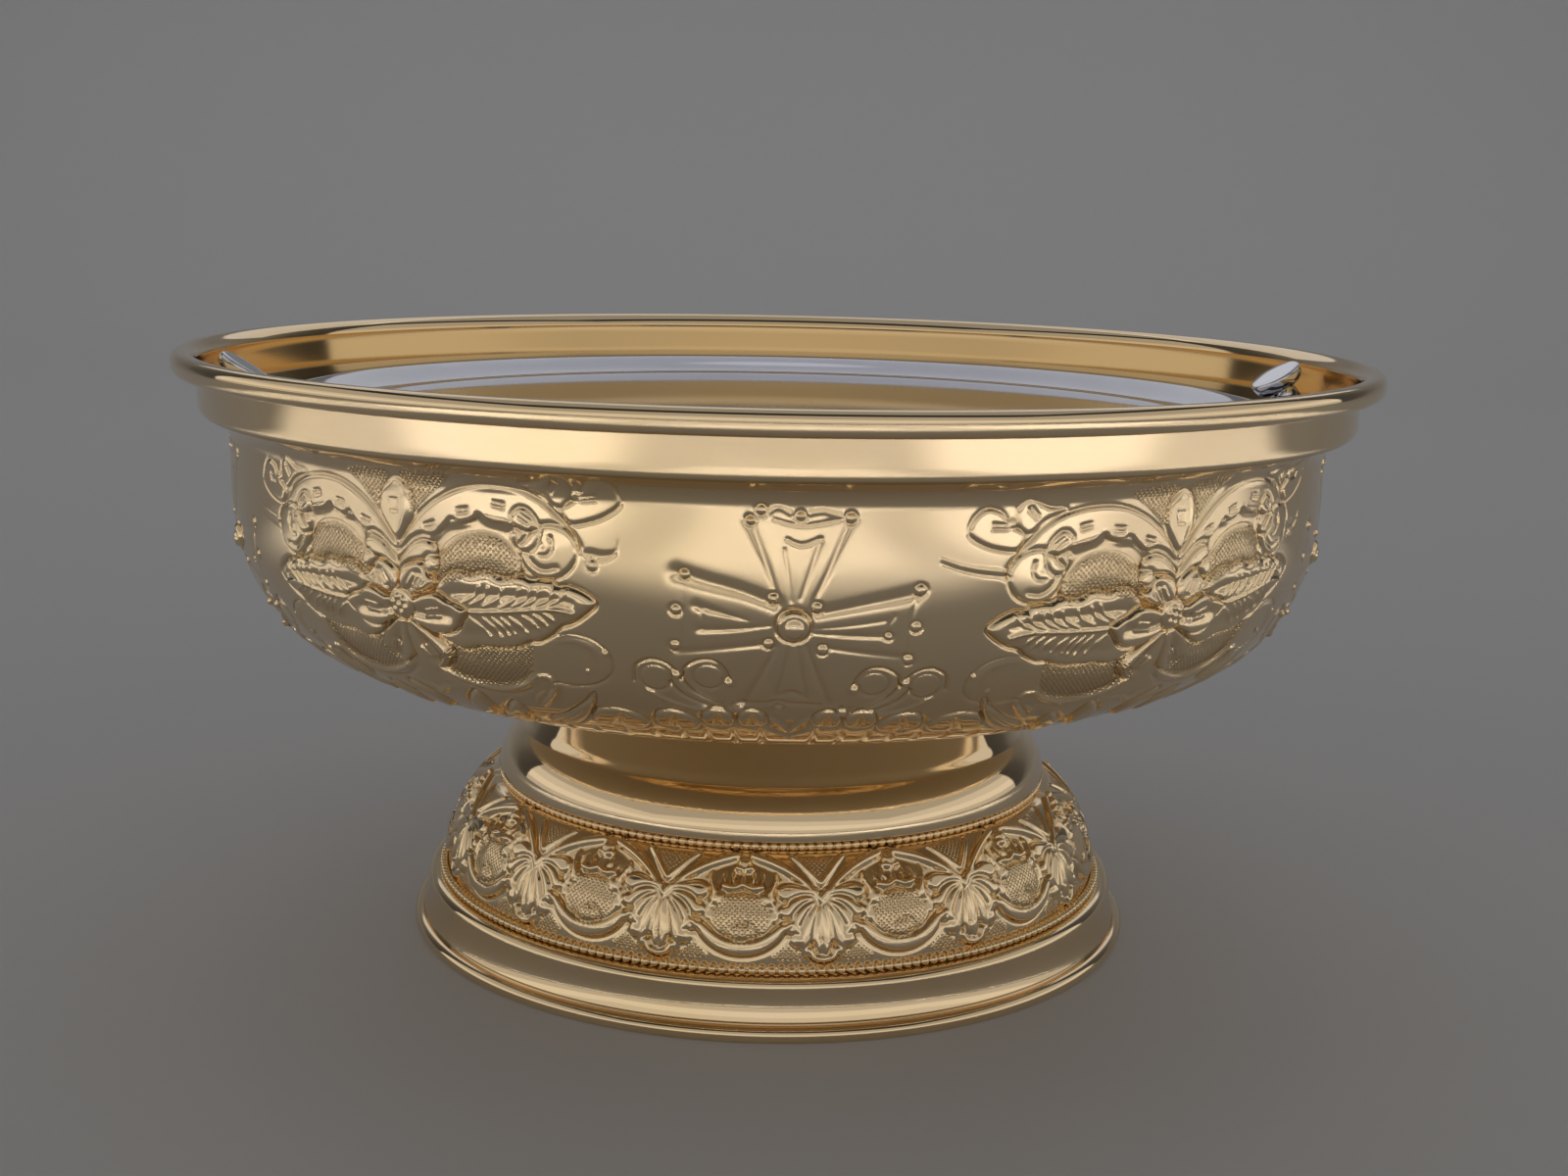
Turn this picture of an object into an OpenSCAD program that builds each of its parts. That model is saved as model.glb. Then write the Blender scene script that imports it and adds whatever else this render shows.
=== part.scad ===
// Footed altar bread bowl with a lift-out paten tray.
// A spun and chased bowl with a polished collar stands on a spun stem and an
// embossed foot; a shallow silver tray with two knobs rests on the ledge
// inside the collar. Millimetres, +Z up, origin under the middle of the base.

/* [Rim collar] */
// Diameter over the rolled lip
lip_d = 240; // [232:1:248]
// Height of the top of the lip above the table
rim_z = 119.2; // [118:0.1:121]
// Half height of the rolled lip
lip_roll = 2.2; // [1.8:0.1:2.4]
// Height of the collar from its underside to the top of the lip
collar_h = 11.9; // [11.4:0.1:13]
// Width of the step from the bowl out to the collar
step_w = 5.9; // [5:0.1:6.5]

/* [Bowl] */
// Thickness of the spun sheet
wall = 1.2; // [0.8:0.1:1.5]
// Height of the flat underside of the bowl
bowl_z = 54.5; // [53:0.5:56]
// Radius of the flat seat under the bowl
seat_r = 44; // [43:0.5:48]
// Fullness of the bowl's curve towards its side
bowl_n = 2.9; // [2.2:0.1:3.6]
// Fullness of the bowl's curve towards its bottom
bowl_m = 3.0; // [2.2:0.1:3.6]
// How far the top of the bowl flares out under the collar
flare_w = 3.2; // [1:0.1:3.3]
// Height of that flare
flare_h = 4.6; // [3:0.1:6]

/* [Stem] */
// Radius of the shoulder at the bottom of the stem
shoulder_r = 57.5; // [57:0.1:57.8]
// Radius of the neck under the bowl
neck_r = 45.6; // [44:0.2:46]
// Lean of the neck, in degrees from upright
neck_lean = 28; // [22:1:28]
// Height of the stem's round shoulder
shoulder_h = 10.5; // [9:0.1:11]
// Wall of the stem
stem_wall = 1.4; // [1:0.1:1.6]

/* [Foot] */
// Height of the joint between stem and foot
foot_z = 30.4; // [29:0.2:31]
// Radius of the upper bead wire
bead_r = 0.8; // [0.6:0.1:0.8]
// Outermost radius of the base edge
base_r = 75.3; // [75:0.1:75.6]
// Half height of the rolled base edge
base_roll = 1.5; // [1.4:0.05:1.6]

/* [Tray] */
// Gap between the tray and the collar
tray_gap = 0.6; // [0.4:0.1:1.2]
// Thickness of the tray's sheet
tray_t = 1.2; // [0.8:0.1:1.6]
// Depth of the tray's well
well_d = 3.4; // [2:0.2:6]
// Radius where the well's wall starts
well_r = 103; // [100:0.5:104]
// Radius of the tray's flat floor
floor_r = 91; // [84:0.5:94]

/* [Knobs] */
// Diameter of a lifting knob
knob_d = 11; // [9:0.5:11.5]
// Thickness of a knob's head
knob_t = 3.4; // [2.5:0.1:3.6]
// Lean of a knob towards the middle
knob_lean = 32; // [20:1:35]
// Turn of the knobs' line about the axis
knob_turn = 8; // [0:1:45]

/* [Fasteners] */
// Diameter of the bolt that joins bowl and stem
bolt_d = 8; // [5:1:8]
// Washer diameter
washer_d = 24; // [20:1:28]
// Washer thickness
washer_t = 1.6; // [1:0.1:2]

/* [Hidden] */
$fn = 96;

gold = [0.86, 0.74, 0.52];
silver = [0.80, 0.81, 0.86];
steel = [0.62, 0.63, 0.65];

lip_r = lip_d / 2;
lip_cr = lip_r - lip_roll;              // centre of the lip's roll
lip_cz = rim_z - lip_roll;
collar_r = lip_r - 2 * lip_roll - 0.2;  // outer face of the collar
collar_in = collar_r - wall;            // inner face of the collar
ledge_z = rim_z - collar_h;             // underside of the ledge
bowl_r = collar_r - step_w;             // side of the bowl
side_z = rim_z - 19.2;                  // where the side starts to curve in
flange_r = bowl_r - wall;               // inner edge of the ledge
seat_gap = 0.1;                         // air between tray and ledge
tray_z = ledge_z + wall + seat_gap;     // underside of the tray's flange
base_top = 10.9;                        // flat on which the foot stands
hole_r = bolt_d / 2 + 0.25;
bolt_head = bowl_z + wall + washer_t;   // underside of the bolt head

// Rounded quarter between two axes: full curve of the bowl's side
function bowl_pt(a, r, zb) =
    [seat_r + (r - seat_r) * pow(cos(a), 2 / bowl_n),
     side_z - (side_z - zb) * pow(sin(a), 2 / bowl_m)];
// Point on a quadratic curve with one control point
function bez(p, c, q, t) = (1 - t) * (1 - t) * p + 2 * t * (1 - t) * c + t * t * q;
// Points of an arc about c
function arc(c, rx, ry, a0, a1, n) =
    [for (i = [0:n]) let (a = a0 + (a1 - a0) * i / n) [c[0] + rx * cos(a), c[1] + ry * sin(a)]];
// Falling S from 1 to 0
function ease(u) = 0.5 + 0.5 * cos(180 * u);
// Radius of the stem at height z: round shoulder, then a leaning neck
stem_z0 = foot_z + 2 * bead_r + 0.25;
function stem_r(z) = max(
    shoulder_r - 10 + 10 * sqrt(max(0, 1 - pow((z - stem_z0) / shoulder_h, 2))),
    neck_r + (bowl_z - z) * tan(neck_lean));

// Polished ring: ledge, upright band and rolled lip
module rim_collar() {
    color(gold) rotate_extrude()
        polygon(concat(
            [[flange_r, ledge_z], [flange_r, ledge_z + wall], [collar_in, ledge_z + wall]],
            arc([lip_cr, lip_cz - 0.6], lip_cr - collar_in, lip_roll + 0.6, 180, 90, 8),
            arc([lip_cr, lip_cz], lip_roll, lip_roll, 80, -90, 14),
            [[collar_r + 0.7, lip_cz - lip_roll + 0.5], [collar_r, lip_cz - lip_roll + 1.1]],
            arc([collar_r - 1.5, ledge_z + 1.7], 1.5, 1.7, 0, -90, 8)));
}

// Deep bowl, open at the top, with a hole for the bolt
module bowl_shell() {
    n = 26;
    color(gold) rotate_extrude()
        polygon(concat(
            [for (i = [0:8]) [bowl_r + flare_w * pow(1 - i / 8, 2.2), ledge_z - flare_h * i / 8]],
            [for (i = [0:n]) bowl_pt(90 * i / n, bowl_r, bowl_z)],
            [[hole_r, bowl_z], [hole_r, bowl_z + wall]],
            [for (i = [n:-1:0]) bowl_pt(90 * i / n, bowl_r - wall, bowl_z + wall)],
            [[bowl_r - wall, ledge_z]]));
}

// Spun stem: flat seat for the bowl, leaning neck and round shoulder
module stem() {
    n = 24;
    top = bowl_z - stem_wall;
    color(gold) rotate_extrude()
        polygon(concat(
            [[shoulder_r - 1.6, foot_z], [shoulder_r - 1.6, stem_z0 - 0.15], [shoulder_r - 0.15, stem_z0 - 0.12]],
            [for (i = [0:n]) let (z = stem_z0 + (bowl_z - stem_z0) * i / n) [stem_r(z), z]],
            [[hole_r, bowl_z], [hole_r, top]],
            [for (i = [n:-1:0]) let (z = stem_z0 + 1.2 + (top - stem_z0 - 1.2) * i / n) [stem_r(z) - stem_wall, z]],
            [[shoulder_r - 3, stem_z0 + 0.5], [shoulder_r - 3, foot_z]]));
}

// Beaded wire, drawn as its plain round core
module bead_ring(r, z, a) {
    color(gold) rotate_extrude() translate([r, z]) circle(a);
}
module upper_bead_ring() { bead_ring(shoulder_r - 1.6 + bead_r + 0.05, foot_z + bead_r + 0.02, bead_r); }
module lower_bead_ring() { bead_ring(68.4 + bead_r + 0.05, base_top + bead_r + 0.02, bead_r); }

// Swelling foot that carries the embossed band
module foot_dome() {
    n = 16;
    top = shoulder_r + 1.1;
    color(gold) rotate_extrude()
        polygon(concat(
            [[shoulder_r - 3.4, foot_z]],
            [for (i = [0:n]) bez([top, foot_z], [67.7, base_top + 14.5], [68.4, base_top], i / n)],
            [for (i = [n:-1:0]) bez([top - 1.1, foot_z - wall], [66.4, base_top + 13.6], [68.4 - wall, base_top], i / n)],
            [[shoulder_r - 3.4, foot_z - wall]]));
}

// Polished base: flat on which the foot stands, swelling band, rolled edge
module base_ring() {
    n = 8;
    lc = [base_r - base_roll, base_roll - 0.2];
    flat = sqrt(base_roll * base_roll - (base_roll - 0.2) * (base_roll - 0.2));
    color(gold) rotate_extrude()
        polygon(concat(
            [[67, base_top]],
            arc([70.6, base_top - 1.7], 1.7, 1.7, 90, 0, n),
            [for (i = [1:n]) bez([72.3, base_top - 1.7], [72.5, base_top - 5], [base_r - 1.8, 3.5], i / n)],
            [[base_r - 2.3, 3.1]],
            arc(lc, base_roll, base_roll, 115, -asin((base_roll - 0.2) / base_roll), n),
            [[base_r - base_roll - flat, 0], [base_r - base_roll - flat - 0.9, 1.4]],
            [for (i = [1:n]) bez([base_r - base_roll - flat - 0.9, 1.4], [71.4, 4.5], [71.1, base_top - 2.5], i / n)],
            [[70.4, base_top - 1.6], [69.6, base_top - wall], [67, base_top - wall]]));
}

// Plain washer
module washer(z) {
    color(steel) translate([0, 0, z]) difference() {
        cylinder(d = washer_d, h = washer_t);
        translate([0, 0, -1]) cylinder(r = hole_r + 0.1, h = washer_t + 2);
    }
}
module bowl_washer() { washer(bowl_z + wall); }
module stem_washer() { washer(bowl_z - stem_wall - washer_t); }

// Slotted bolt through bowl and stem
module center_bolt() {
    color(steel) difference() {
        union() {
            rotate_extrude() polygon([[0, bolt_head], [bolt_d, bolt_head], [bolt_d, bolt_head + 2.6],
                                      [bolt_d - 1.2, bolt_head + 3.8], [0, bolt_head + 3.8]]);
            translate([0, 0, bowl_z - 14.5]) cylinder(d = bolt_d, h = bolt_head - bowl_z + 15);
            translate([0, 0, bowl_z - 15.3]) cylinder(d1 = bolt_d - 1.6, d2 = bolt_d, h = 0.8);
        }
        translate([-bolt_d - 1, -0.8, bolt_head + 2.2]) cube([2 * bolt_d + 2, 1.6, 4]);
    }
}

// Hexagon nut inside the stem
module hex_nut() {
    z = bowl_z - stem_wall - washer_t - 6.5;
    color(steel) translate([0, 0, z]) difference() {
        cylinder(r = bolt_d * 0.94, h = 6.5, $fn = 6);
        translate([0, 0, -1]) cylinder(r = bolt_d / 2 + 0.05, h = 9);
    }
}

// Shallow tray: flat flange, low wall and flat floor, with two peg holes
knob_rr = collar_in - tray_gap - 3.8;
module tray() {
    n = 14;
    rt = collar_in - tray_gap;
    zt = tray_z + tray_t;
    top = [for (i = [0:n]) [well_r + (floor_r - well_r) * i / n, zt - well_d * (1 - ease(i / n))]];
    color(silver) difference() {
        rotate_extrude()
            polygon(concat(
                [[0, zt - well_d]], [for (i = [n:-1:0]) top[i]],
                [[rt - 0.4, zt], [rt, zt - 0.4], [rt, tray_z + 0.4], [rt - 0.4, tray_z]],
                [for (p = top) [p[0] - 0.4, p[1] - tray_t]],
                [[0, zt - well_d - tray_t]]));
        for (s = [0, 180]) rotate(knob_turn + s) translate([knob_rr, 0, tray_z - 1])
            cylinder(r = 1.6, h = tray_t + 2);
    }
}

// Turned knob: flat head leaning inwards on a short round neck, with a peg
module knob() {
    zt = tray_z + tray_t;
    color(silver) translate([knob_rr, 0, zt]) {
        translate([0, 0, -tray_t]) cylinder(r = 1.5, h = tray_t + 1);
        intersection() {
            sphere(r = 3.2);
            translate([-5, -5, 0.02]) cube([10, 10, 6]);
        }
        rotate([0, -knob_lean, 0]) {
            translate([0, 0, 1.9]) cylinder(r1 = 2.5, r2 = 2.4, h = 1.2);
            translate([0, 0, 2.7]) rotate_extrude()
                polygon(concat(
                    [[0, 0], [knob_d / 2 - 2.2, 0]],
                    arc([knob_d / 2 - 2.2, knob_t - 0.9], 2.2, knob_t - 0.9, -90, 0, 6),
                    arc([knob_d / 2 - 0.6, knob_t - 0.6], 0.6, 0.6, 0, 90, 4),
                    [[0, knob_t]]));
        }
    }
}
module right_knob() { rotate(knob_turn) knob(); }
module left_knob() { rotate(knob_turn + 180) knob(); }

rim_collar();
bowl_shell();
stem();
upper_bead_ring();
foot_dome();
lower_bead_ring();
base_ring();
bowl_washer();
center_bolt();
stem_washer();
hex_nut();
tray();
left_knob();
right_knob();
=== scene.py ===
import math

import bmesh
import bpy
import numpy as np
from mathutils import Matrix, Vector


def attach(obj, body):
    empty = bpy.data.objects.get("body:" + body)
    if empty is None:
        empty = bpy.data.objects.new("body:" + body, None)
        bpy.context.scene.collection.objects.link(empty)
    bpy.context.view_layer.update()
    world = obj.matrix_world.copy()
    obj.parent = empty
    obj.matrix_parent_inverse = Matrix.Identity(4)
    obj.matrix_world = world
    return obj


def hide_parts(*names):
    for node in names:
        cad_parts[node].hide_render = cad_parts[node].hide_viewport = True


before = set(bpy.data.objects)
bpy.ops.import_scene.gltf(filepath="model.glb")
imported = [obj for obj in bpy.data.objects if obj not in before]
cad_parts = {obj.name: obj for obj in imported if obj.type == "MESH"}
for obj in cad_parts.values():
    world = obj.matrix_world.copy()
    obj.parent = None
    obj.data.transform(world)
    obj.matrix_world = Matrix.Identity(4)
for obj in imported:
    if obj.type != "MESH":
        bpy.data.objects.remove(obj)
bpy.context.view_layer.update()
MM = 0.001
LIFT = 2.0      # mm; profiles below are drawn with the table at z = -LIFT
PI = math.pi

# ---------------------------------------------------------------- camera
cam_data = bpy.data.cameras.new("camera")
cam_data.sensor_fit = "HORIZONTAL"
cam_data.sensor_width = 36.0
cam_data.lens = 45.82
cam_data.clip_start = 0.01
cam_data.clip_end = 50.0
cam = bpy.data.objects.new("camera", cam_data)
bpy.context.collection.objects.link(cam)
pitch, roll, yaw = math.radians(11.085), -0.0212, -0.0046
c_right = Vector((math.cos(yaw), math.sin(yaw), 0))
c_level = Vector((-math.sin(yaw), math.cos(yaw), 0))
c_fwd = math.cos(pitch) * c_level - math.sin(pitch) * Vector((0, 0, 1))
c_up = math.sin(pitch) * c_level + math.cos(pitch) * Vector((0, 0, 1))
i_right = math.cos(roll) * c_right - math.sin(roll) * c_up
i_up = math.sin(roll) * c_right + math.cos(roll) * c_up
rot = Matrix((i_right, i_up, -c_fwd)).transposed()
cam.matrix_world = Matrix.Translation((0, -0.4118, 0.1498)) @ rot.to_4x4()
bpy.context.scene.camera = cam


# ---------------------------------------------------------------- relief drawing
def spline(pts, closed=False, n=7):
    """Smooth line through the points (Catmull-Rom)."""
    p = np.array(pts, float)
    m = len(p)
    out = []
    segs = m if closed else m - 1
    for i in range(segs):
        if closed:
            a, b, c, d = p[(i - 1) % m], p[i], p[(i + 1) % m], p[(i + 2) % m]
        else:
            a, b, c, d = p[max(i - 1, 0)], p[i], p[i + 1], p[min(i + 2, m - 1)]
        for k in range(n):
            t = k / n
            out.append(0.5 * ((2 * b) + (c - a) * t + (2 * a - 5 * b + 4 * c - d) * t * t
                              + (3 * b - a - 3 * c + d) * t ** 3))
    if not closed:
        out.append(p[-1])
    return np.array(out)


class Field:
    """Height over a surface that repeats: x runs round it in mm, v down it in mm."""

    def __init__(self, period, nx, rows):
        self.P = period
        self.x = -period / 2 + period * np.arange(nx) / nx
        self.v = np.asarray(rows, float)
        self.H = np.zeros((len(self.v), nx))
        self.S = np.zeros((len(self.v), nx))
        self.F = np.zeros((len(self.v), nx))

    def areas(self, x0, x1, v0, v1):
        r0, r1 = np.searchsorted(self.v, v0), np.searchsorted(self.v, v1)
        if r1 <= r0:
            return
        for off in (-self.P, 0.0, self.P):
            a = np.searchsorted(self.x, x0 + off)
            b = np.searchsorted(self.x, x1 + off)
            if b > a:
                X, V = np.meshgrid(self.x[a:b] - off, self.v[r0:r1])
                yield (slice(r0, r1), slice(a, b)), X, V

    @staticmethod
    def dist(X, V, poly, closed):
        q = np.vstack([poly, poly[:1]]) if closed else poly
        seg = np.hypot(*np.diff(q, axis=0).T)
        cum = np.r_[0, np.cumsum(seg)]
        tot = max(cum[-1], 1e-9)
        best = np.full(X.shape, 1e9)
        tt = np.zeros(X.shape)
        for i in range(len(q) - 1):
            ax, av = q[i]
            dx, dv = q[i + 1] - q[i]
            L = dx * dx + dv * dv
            if L < 1e-12:
                continue
            k = np.clip(((X - ax) * dx + (V - av) * dv) / L, 0, 1)
            d = (X - ax - k * dx) ** 2 + (V - av - k * dv) ** 2
            w = d < best
            best = np.where(w, d, best)
            tt = np.where(w, (cum[i] + k * seg[i]) / tot, tt)
        return np.sqrt(best), tt

    @staticmethod
    def inside(X, V, poly):
        c = np.zeros(X.shape, bool)
        n = len(poly)
        for i in range(n):
            x0, y0 = poly[i]
            x1, y1 = poly[(i + 1) % n]
            if y0 == y1:
                continue
            c ^= ((y0 > V) != (y1 > V)) & (X < (x1 - x0) * (V - y0) / (y1 - y0) + x0)
        return c

    def plate(self, pts, level, rim, base=0.0, groove=0.2, gw=0.45, crown=0.0, wide=3.0, smooth=5,
              stipple=None, keep=0.0):
        """Flat or slightly crowned patch with a soft edge and a chased outline."""
        poly = spline(pts, True, smooth) if smooth else np.array(pts, float)
        m = 2.6 * gw
        lo, hi = poly.min(0) - m, poly.max(0) + m
        for s, X, V in self.areas(lo[0], hi[0], lo[1], hi[1]):
            d, _ = self.dist(X, V, poly, True)
            ins = self.inside(X, V, poly)
            t, t2 = np.clip(d / rim, 0, 1), np.clip(d / wide, 0, 1)
            h = base + level * (1 - (1 - t) ** 2) + crown * (1 - (1 - t2) ** 2) + keep * self.H[s]
            self.H[s] = np.where(ins, h, self.H[s]) - groove * np.exp(-(d / gw) ** 2)
            if stipple is not None:
                self.S[s] = np.where(ins, stipple * np.clip(d / 0.5, 0, 1), self.S[s])

    def line(self, pts, w, h, t0=1.0, t1=1.0, smooth=6, closed=False):
        """Soft raised line, or with h below 0 a chased (sunk) one; t0 and t1 scale its ends."""
        poly = spline(pts, closed, smooth) if smooth else np.array(pts, float)
        m = 2.4 * w * max(t0, t1, 1)
        lo, hi = poly.min(0) - m, poly.max(0) + m
        for s, X, V in self.areas(lo[0], hi[0], lo[1], hi[1]):
            d, t = self.dist(X, V, poly, closed)
            f = t0 + (t1 - t0) * t
            self.H[s] += h * np.clip(f * 1.25, 0, 1) * np.exp(-(d / (w * f + 1e-6)) ** 2)

    def lobe(self, pts, w, h, t0=1.0, t1=1.0, base=0.0, smooth=6, fat=0.5):
        """Rounded bar that lies on whatever is lower than it."""
        poly = spline(pts, False, smooth) if smooth else np.array(pts, float)
        m = w * max(t0, t1, 1) + 0.2
        lo, hi = poly.min(0) - m, poly.max(0) + m
        for s, X, V in self.areas(lo[0], hi[0], lo[1], hi[1]):
            d, t = self.dist(X, V, poly, False)
            f = t0 + (t1 - t0) * t
            k = np.clip(1 - (d / (w * f + 1e-6)) ** 2, 0, 1)
            g = base + h * np.clip(f * 1.15, 0, 1) * k ** fat
            self.H[s] = np.where(k > 0, np.maximum(self.H[s], g), self.H[s])

    def dome(self, c, r, h, base=0.0, flat=0.0):
        for s, X, V in self.areas(c[0] - r, c[0] + r, c[1] - r, c[1] + r):
            d = np.hypot(X - c[0], V - c[1]) / r
            k = np.minimum(np.sqrt(np.clip(1 - d * d, 0, 1)), 1 - flat)
            self.H[s] = np.where(d < 1, np.maximum(self.H[s], base + h * k), self.H[s])

    def ringcut(self, c, r, w, depth):
        m = r + 2.5 * w
        for s, X, V in self.areas(c[0] - m, c[0] + m, c[1] - m, c[1] + m):
            d = np.hypot(X - c[0], V - c[1]) - r
            self.H[s] -= depth * np.exp(-(d / w) ** 2)

    def patch(self, layer, pts, value=1.0, soft=0.6):
        """Marks a matted (S) or satin (F) patch without changing its height."""
        A = self.S if layer == "S" else self.F
        poly = spline(pts, True, 4)
        lo, hi = poly.min(0), poly.max(0)
        for s, X, V in self.areas(lo[0], hi[0], lo[1], hi[1]):
            d, _ = self.dist(X, V, poly, True)
            ins = self.inside(X, V, poly)
            A[s] = np.maximum(A[s], np.where(ins, value * np.clip(d / soft, 0, 1), 0))

    def soften(self, times=1):
        for _ in range(times):
            H = self.H
            H = 0.25 * np.roll(H, 1, 1) + 0.5 * H + 0.25 * np.roll(H, -1, 1)
            up = np.vstack([H[:1], H[:-1]])
            dn = np.vstack([H[1:], H[-1:]])
            self.H = 0.25 * up + 0.5 * H + 0.25 * dn


# ---------------------------------------------------------------- bowl ornament
R_BOWL = 109.4
P_BOWL = 2 * PI * R_BOWL / 5
HALF = P_BOWL / 2


def bowl_rows():
    a = np.arange(0, 58, 0.23)
    b = 58 + 43.0 * np.linspace(0, 1, 34) ** 1.15
    return np.r_[a, b]


def draw_cross(F):
    """Cross of chased lines with ring-punched dots and a round boss."""
    def cut(pts, w, h, t0=1.0, t1=1.0):
        F.line(pts, w, 0.62 * h, t0, t1)

    # upper arm
    cut([(-7.4, 5.9), (-6.0, 9.2), (-4.1, 14.0), (-2.6, 18.4)], 0.62, -0.30, 1.25, 0.6)
    cut([(8.3, 6.3), (6.8, 10.0), (4.7, 15.2), (3.0, 18.8)], 0.55, -0.26, 1.1, 0.7)
    cut([(-1.7, 10.8), (-1.1, 14.4), (-0.5, 19.0)], 0.40, -0.20, 0.9, 0.6)
    cut([(3.9, 9.2), (2.7, 13.0), (1.0, 18.6)], 0.45, -0.24, 1.1, 0.6)
    cut([(-1.3, 9.1), (1.0, 9.9), (3.8, 8.9)], 0.36, -0.26, 0.9, 0.9)
    cut([(-3.4, 6.0), (1.0, 6.9), (6.6, 5.9)], 0.36, -0.26, 0.6, 0.8)
    F.line([(-4.4, 5.0), (-2.8, 4.2), (-1.0, 5.0)], 0.40, 0.16)
    F.line([(2.0, 5.1), (4.2, 4.7), (6.6, 5.5)], 0.40, 0.16)
    # left arm
    cut([(-18.4, 14.9), (-14.0, 16.1), (-8.0, 17.6), (-2.7, 19.7)], 1.25, -0.50, 1.05, 0.85)
    cut([(-18.8, 28.2), (-12.0, 27.3), (-4.4, 26.2)], 0.70, -0.42, 1.0, 0.8)
    cut([(-15.3, 20.1), (-11.0, 21.2), (-7.2, 22.2)], 0.62, -0.34, 1.1, 0.3)
    cut([(-15.0, 24.1), (-9.0, 23.7), (-3.6, 23.0)], 0.60, -0.36, 1.1, 0.4)
    cut([(-14.7, 20.8), (-14.2, 22.4), (-14.5, 23.8)], 0.36, -0.18)
    cut([(-17.3, 16.6), (-17.5, 22.0), (-17.6, 27.4)], 0.45, -0.14)
    # right arm
    cut([(19.0, 17.9), (10.0, 19.7), (3.0, 21.2)], 1.05, -0.46, 1.1, 0.8)
    cut([(18.8, 28.6), (11.0, 27.6), (4.6, 26.6)], 0.66, -0.40, 1.0, 0.8)
    cut([(14.6, 22.1), (9.0, 22.9), (3.0, 23.5)], 0.36, -0.20, 1.0, 0.6)
    cut([(15.2, 24.8), (9.0, 24.6), (3.0, 24.2)], 0.58, -0.34, 1.1, 0.5)
    cut([(15.9, 21.4), (15.0, 23.0), (15.1, 24.6)], 0.36, -0.20)
    cut([(19.5, 18.4), (18.6, 22.0), (18.3, 28.2)], 0.36, -0.20)
    # lower arm
    cut([(-2.8, 26.6), (-5.0, 32.0), (-7.8, 37.8)], 0.70, -0.50, 0.7, 1.1)
    cut([(2.4, 26.6), (4.2, 32.0), (6.6, 38.0)], 0.70, -0.50, 0.7, 1.1)
    cut([(-0.8, 26.8), (-1.7, 32.0), (-2.4, 35.4)], 0.45, -0.36, 0.7, 1.0)
    cut([(0.9, 26.8), (1.8, 32.0), (2.6, 35.8)], 0.45, -0.36, 0.7, 1.0)
    cut([(-2.2, 36.3), (0.2, 35.6), (2.6, 36.9)], 0.55, -0.50)
    cut([(-9.4, 38.9), (-7.6, 38.5), (-4.2, 38.3), (-2.0, 37.8), (0.2, 38.3), (5.2, 38.7)], 0.42, -0.45)
    # ring-punched dots
    for x, v, r in ((-5.4, 4.6, 0.85), (0.7, 5.5, 0.78), (8.5, 5.7, 0.88), (-7.0, 6.3, 0.7), (-17.2, 15.1, 0.75), (-18.6, 20.9, 0.85),
                    (-18.9, 27.0, 0.85), (19.9, 17.2, 0.95), (19.6, 23.3, 0.88), (18.9, 29.2, 0.88), (-3.3, 18.6, 0.85),
                    (3.6, 20.0, 0.85), (-3.9, 26.2, 0.85), (4.7, 27.2, 0.92), (-2.0, 39.6, 0.80), (15.2, 24.9, 0.6)):
        F.dome((x, v), r * 1.1, 0.22, base=0.0)
        F.ringcut((x, v), r, 0.27, 0.34)
    # boss with a pearl on it
    F.dome((0, 23.1), 2.75, 0.95, base=-0.10)
    F.ringcut((0, 23.1), 2.8, 0.34, 0.36)
    F.ringcut((0.1, 23.5), 1.75, 0.26, 0.18)
    F.dome((0.1, 23.5), 1.35, 0.45, base=0.72)


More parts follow.
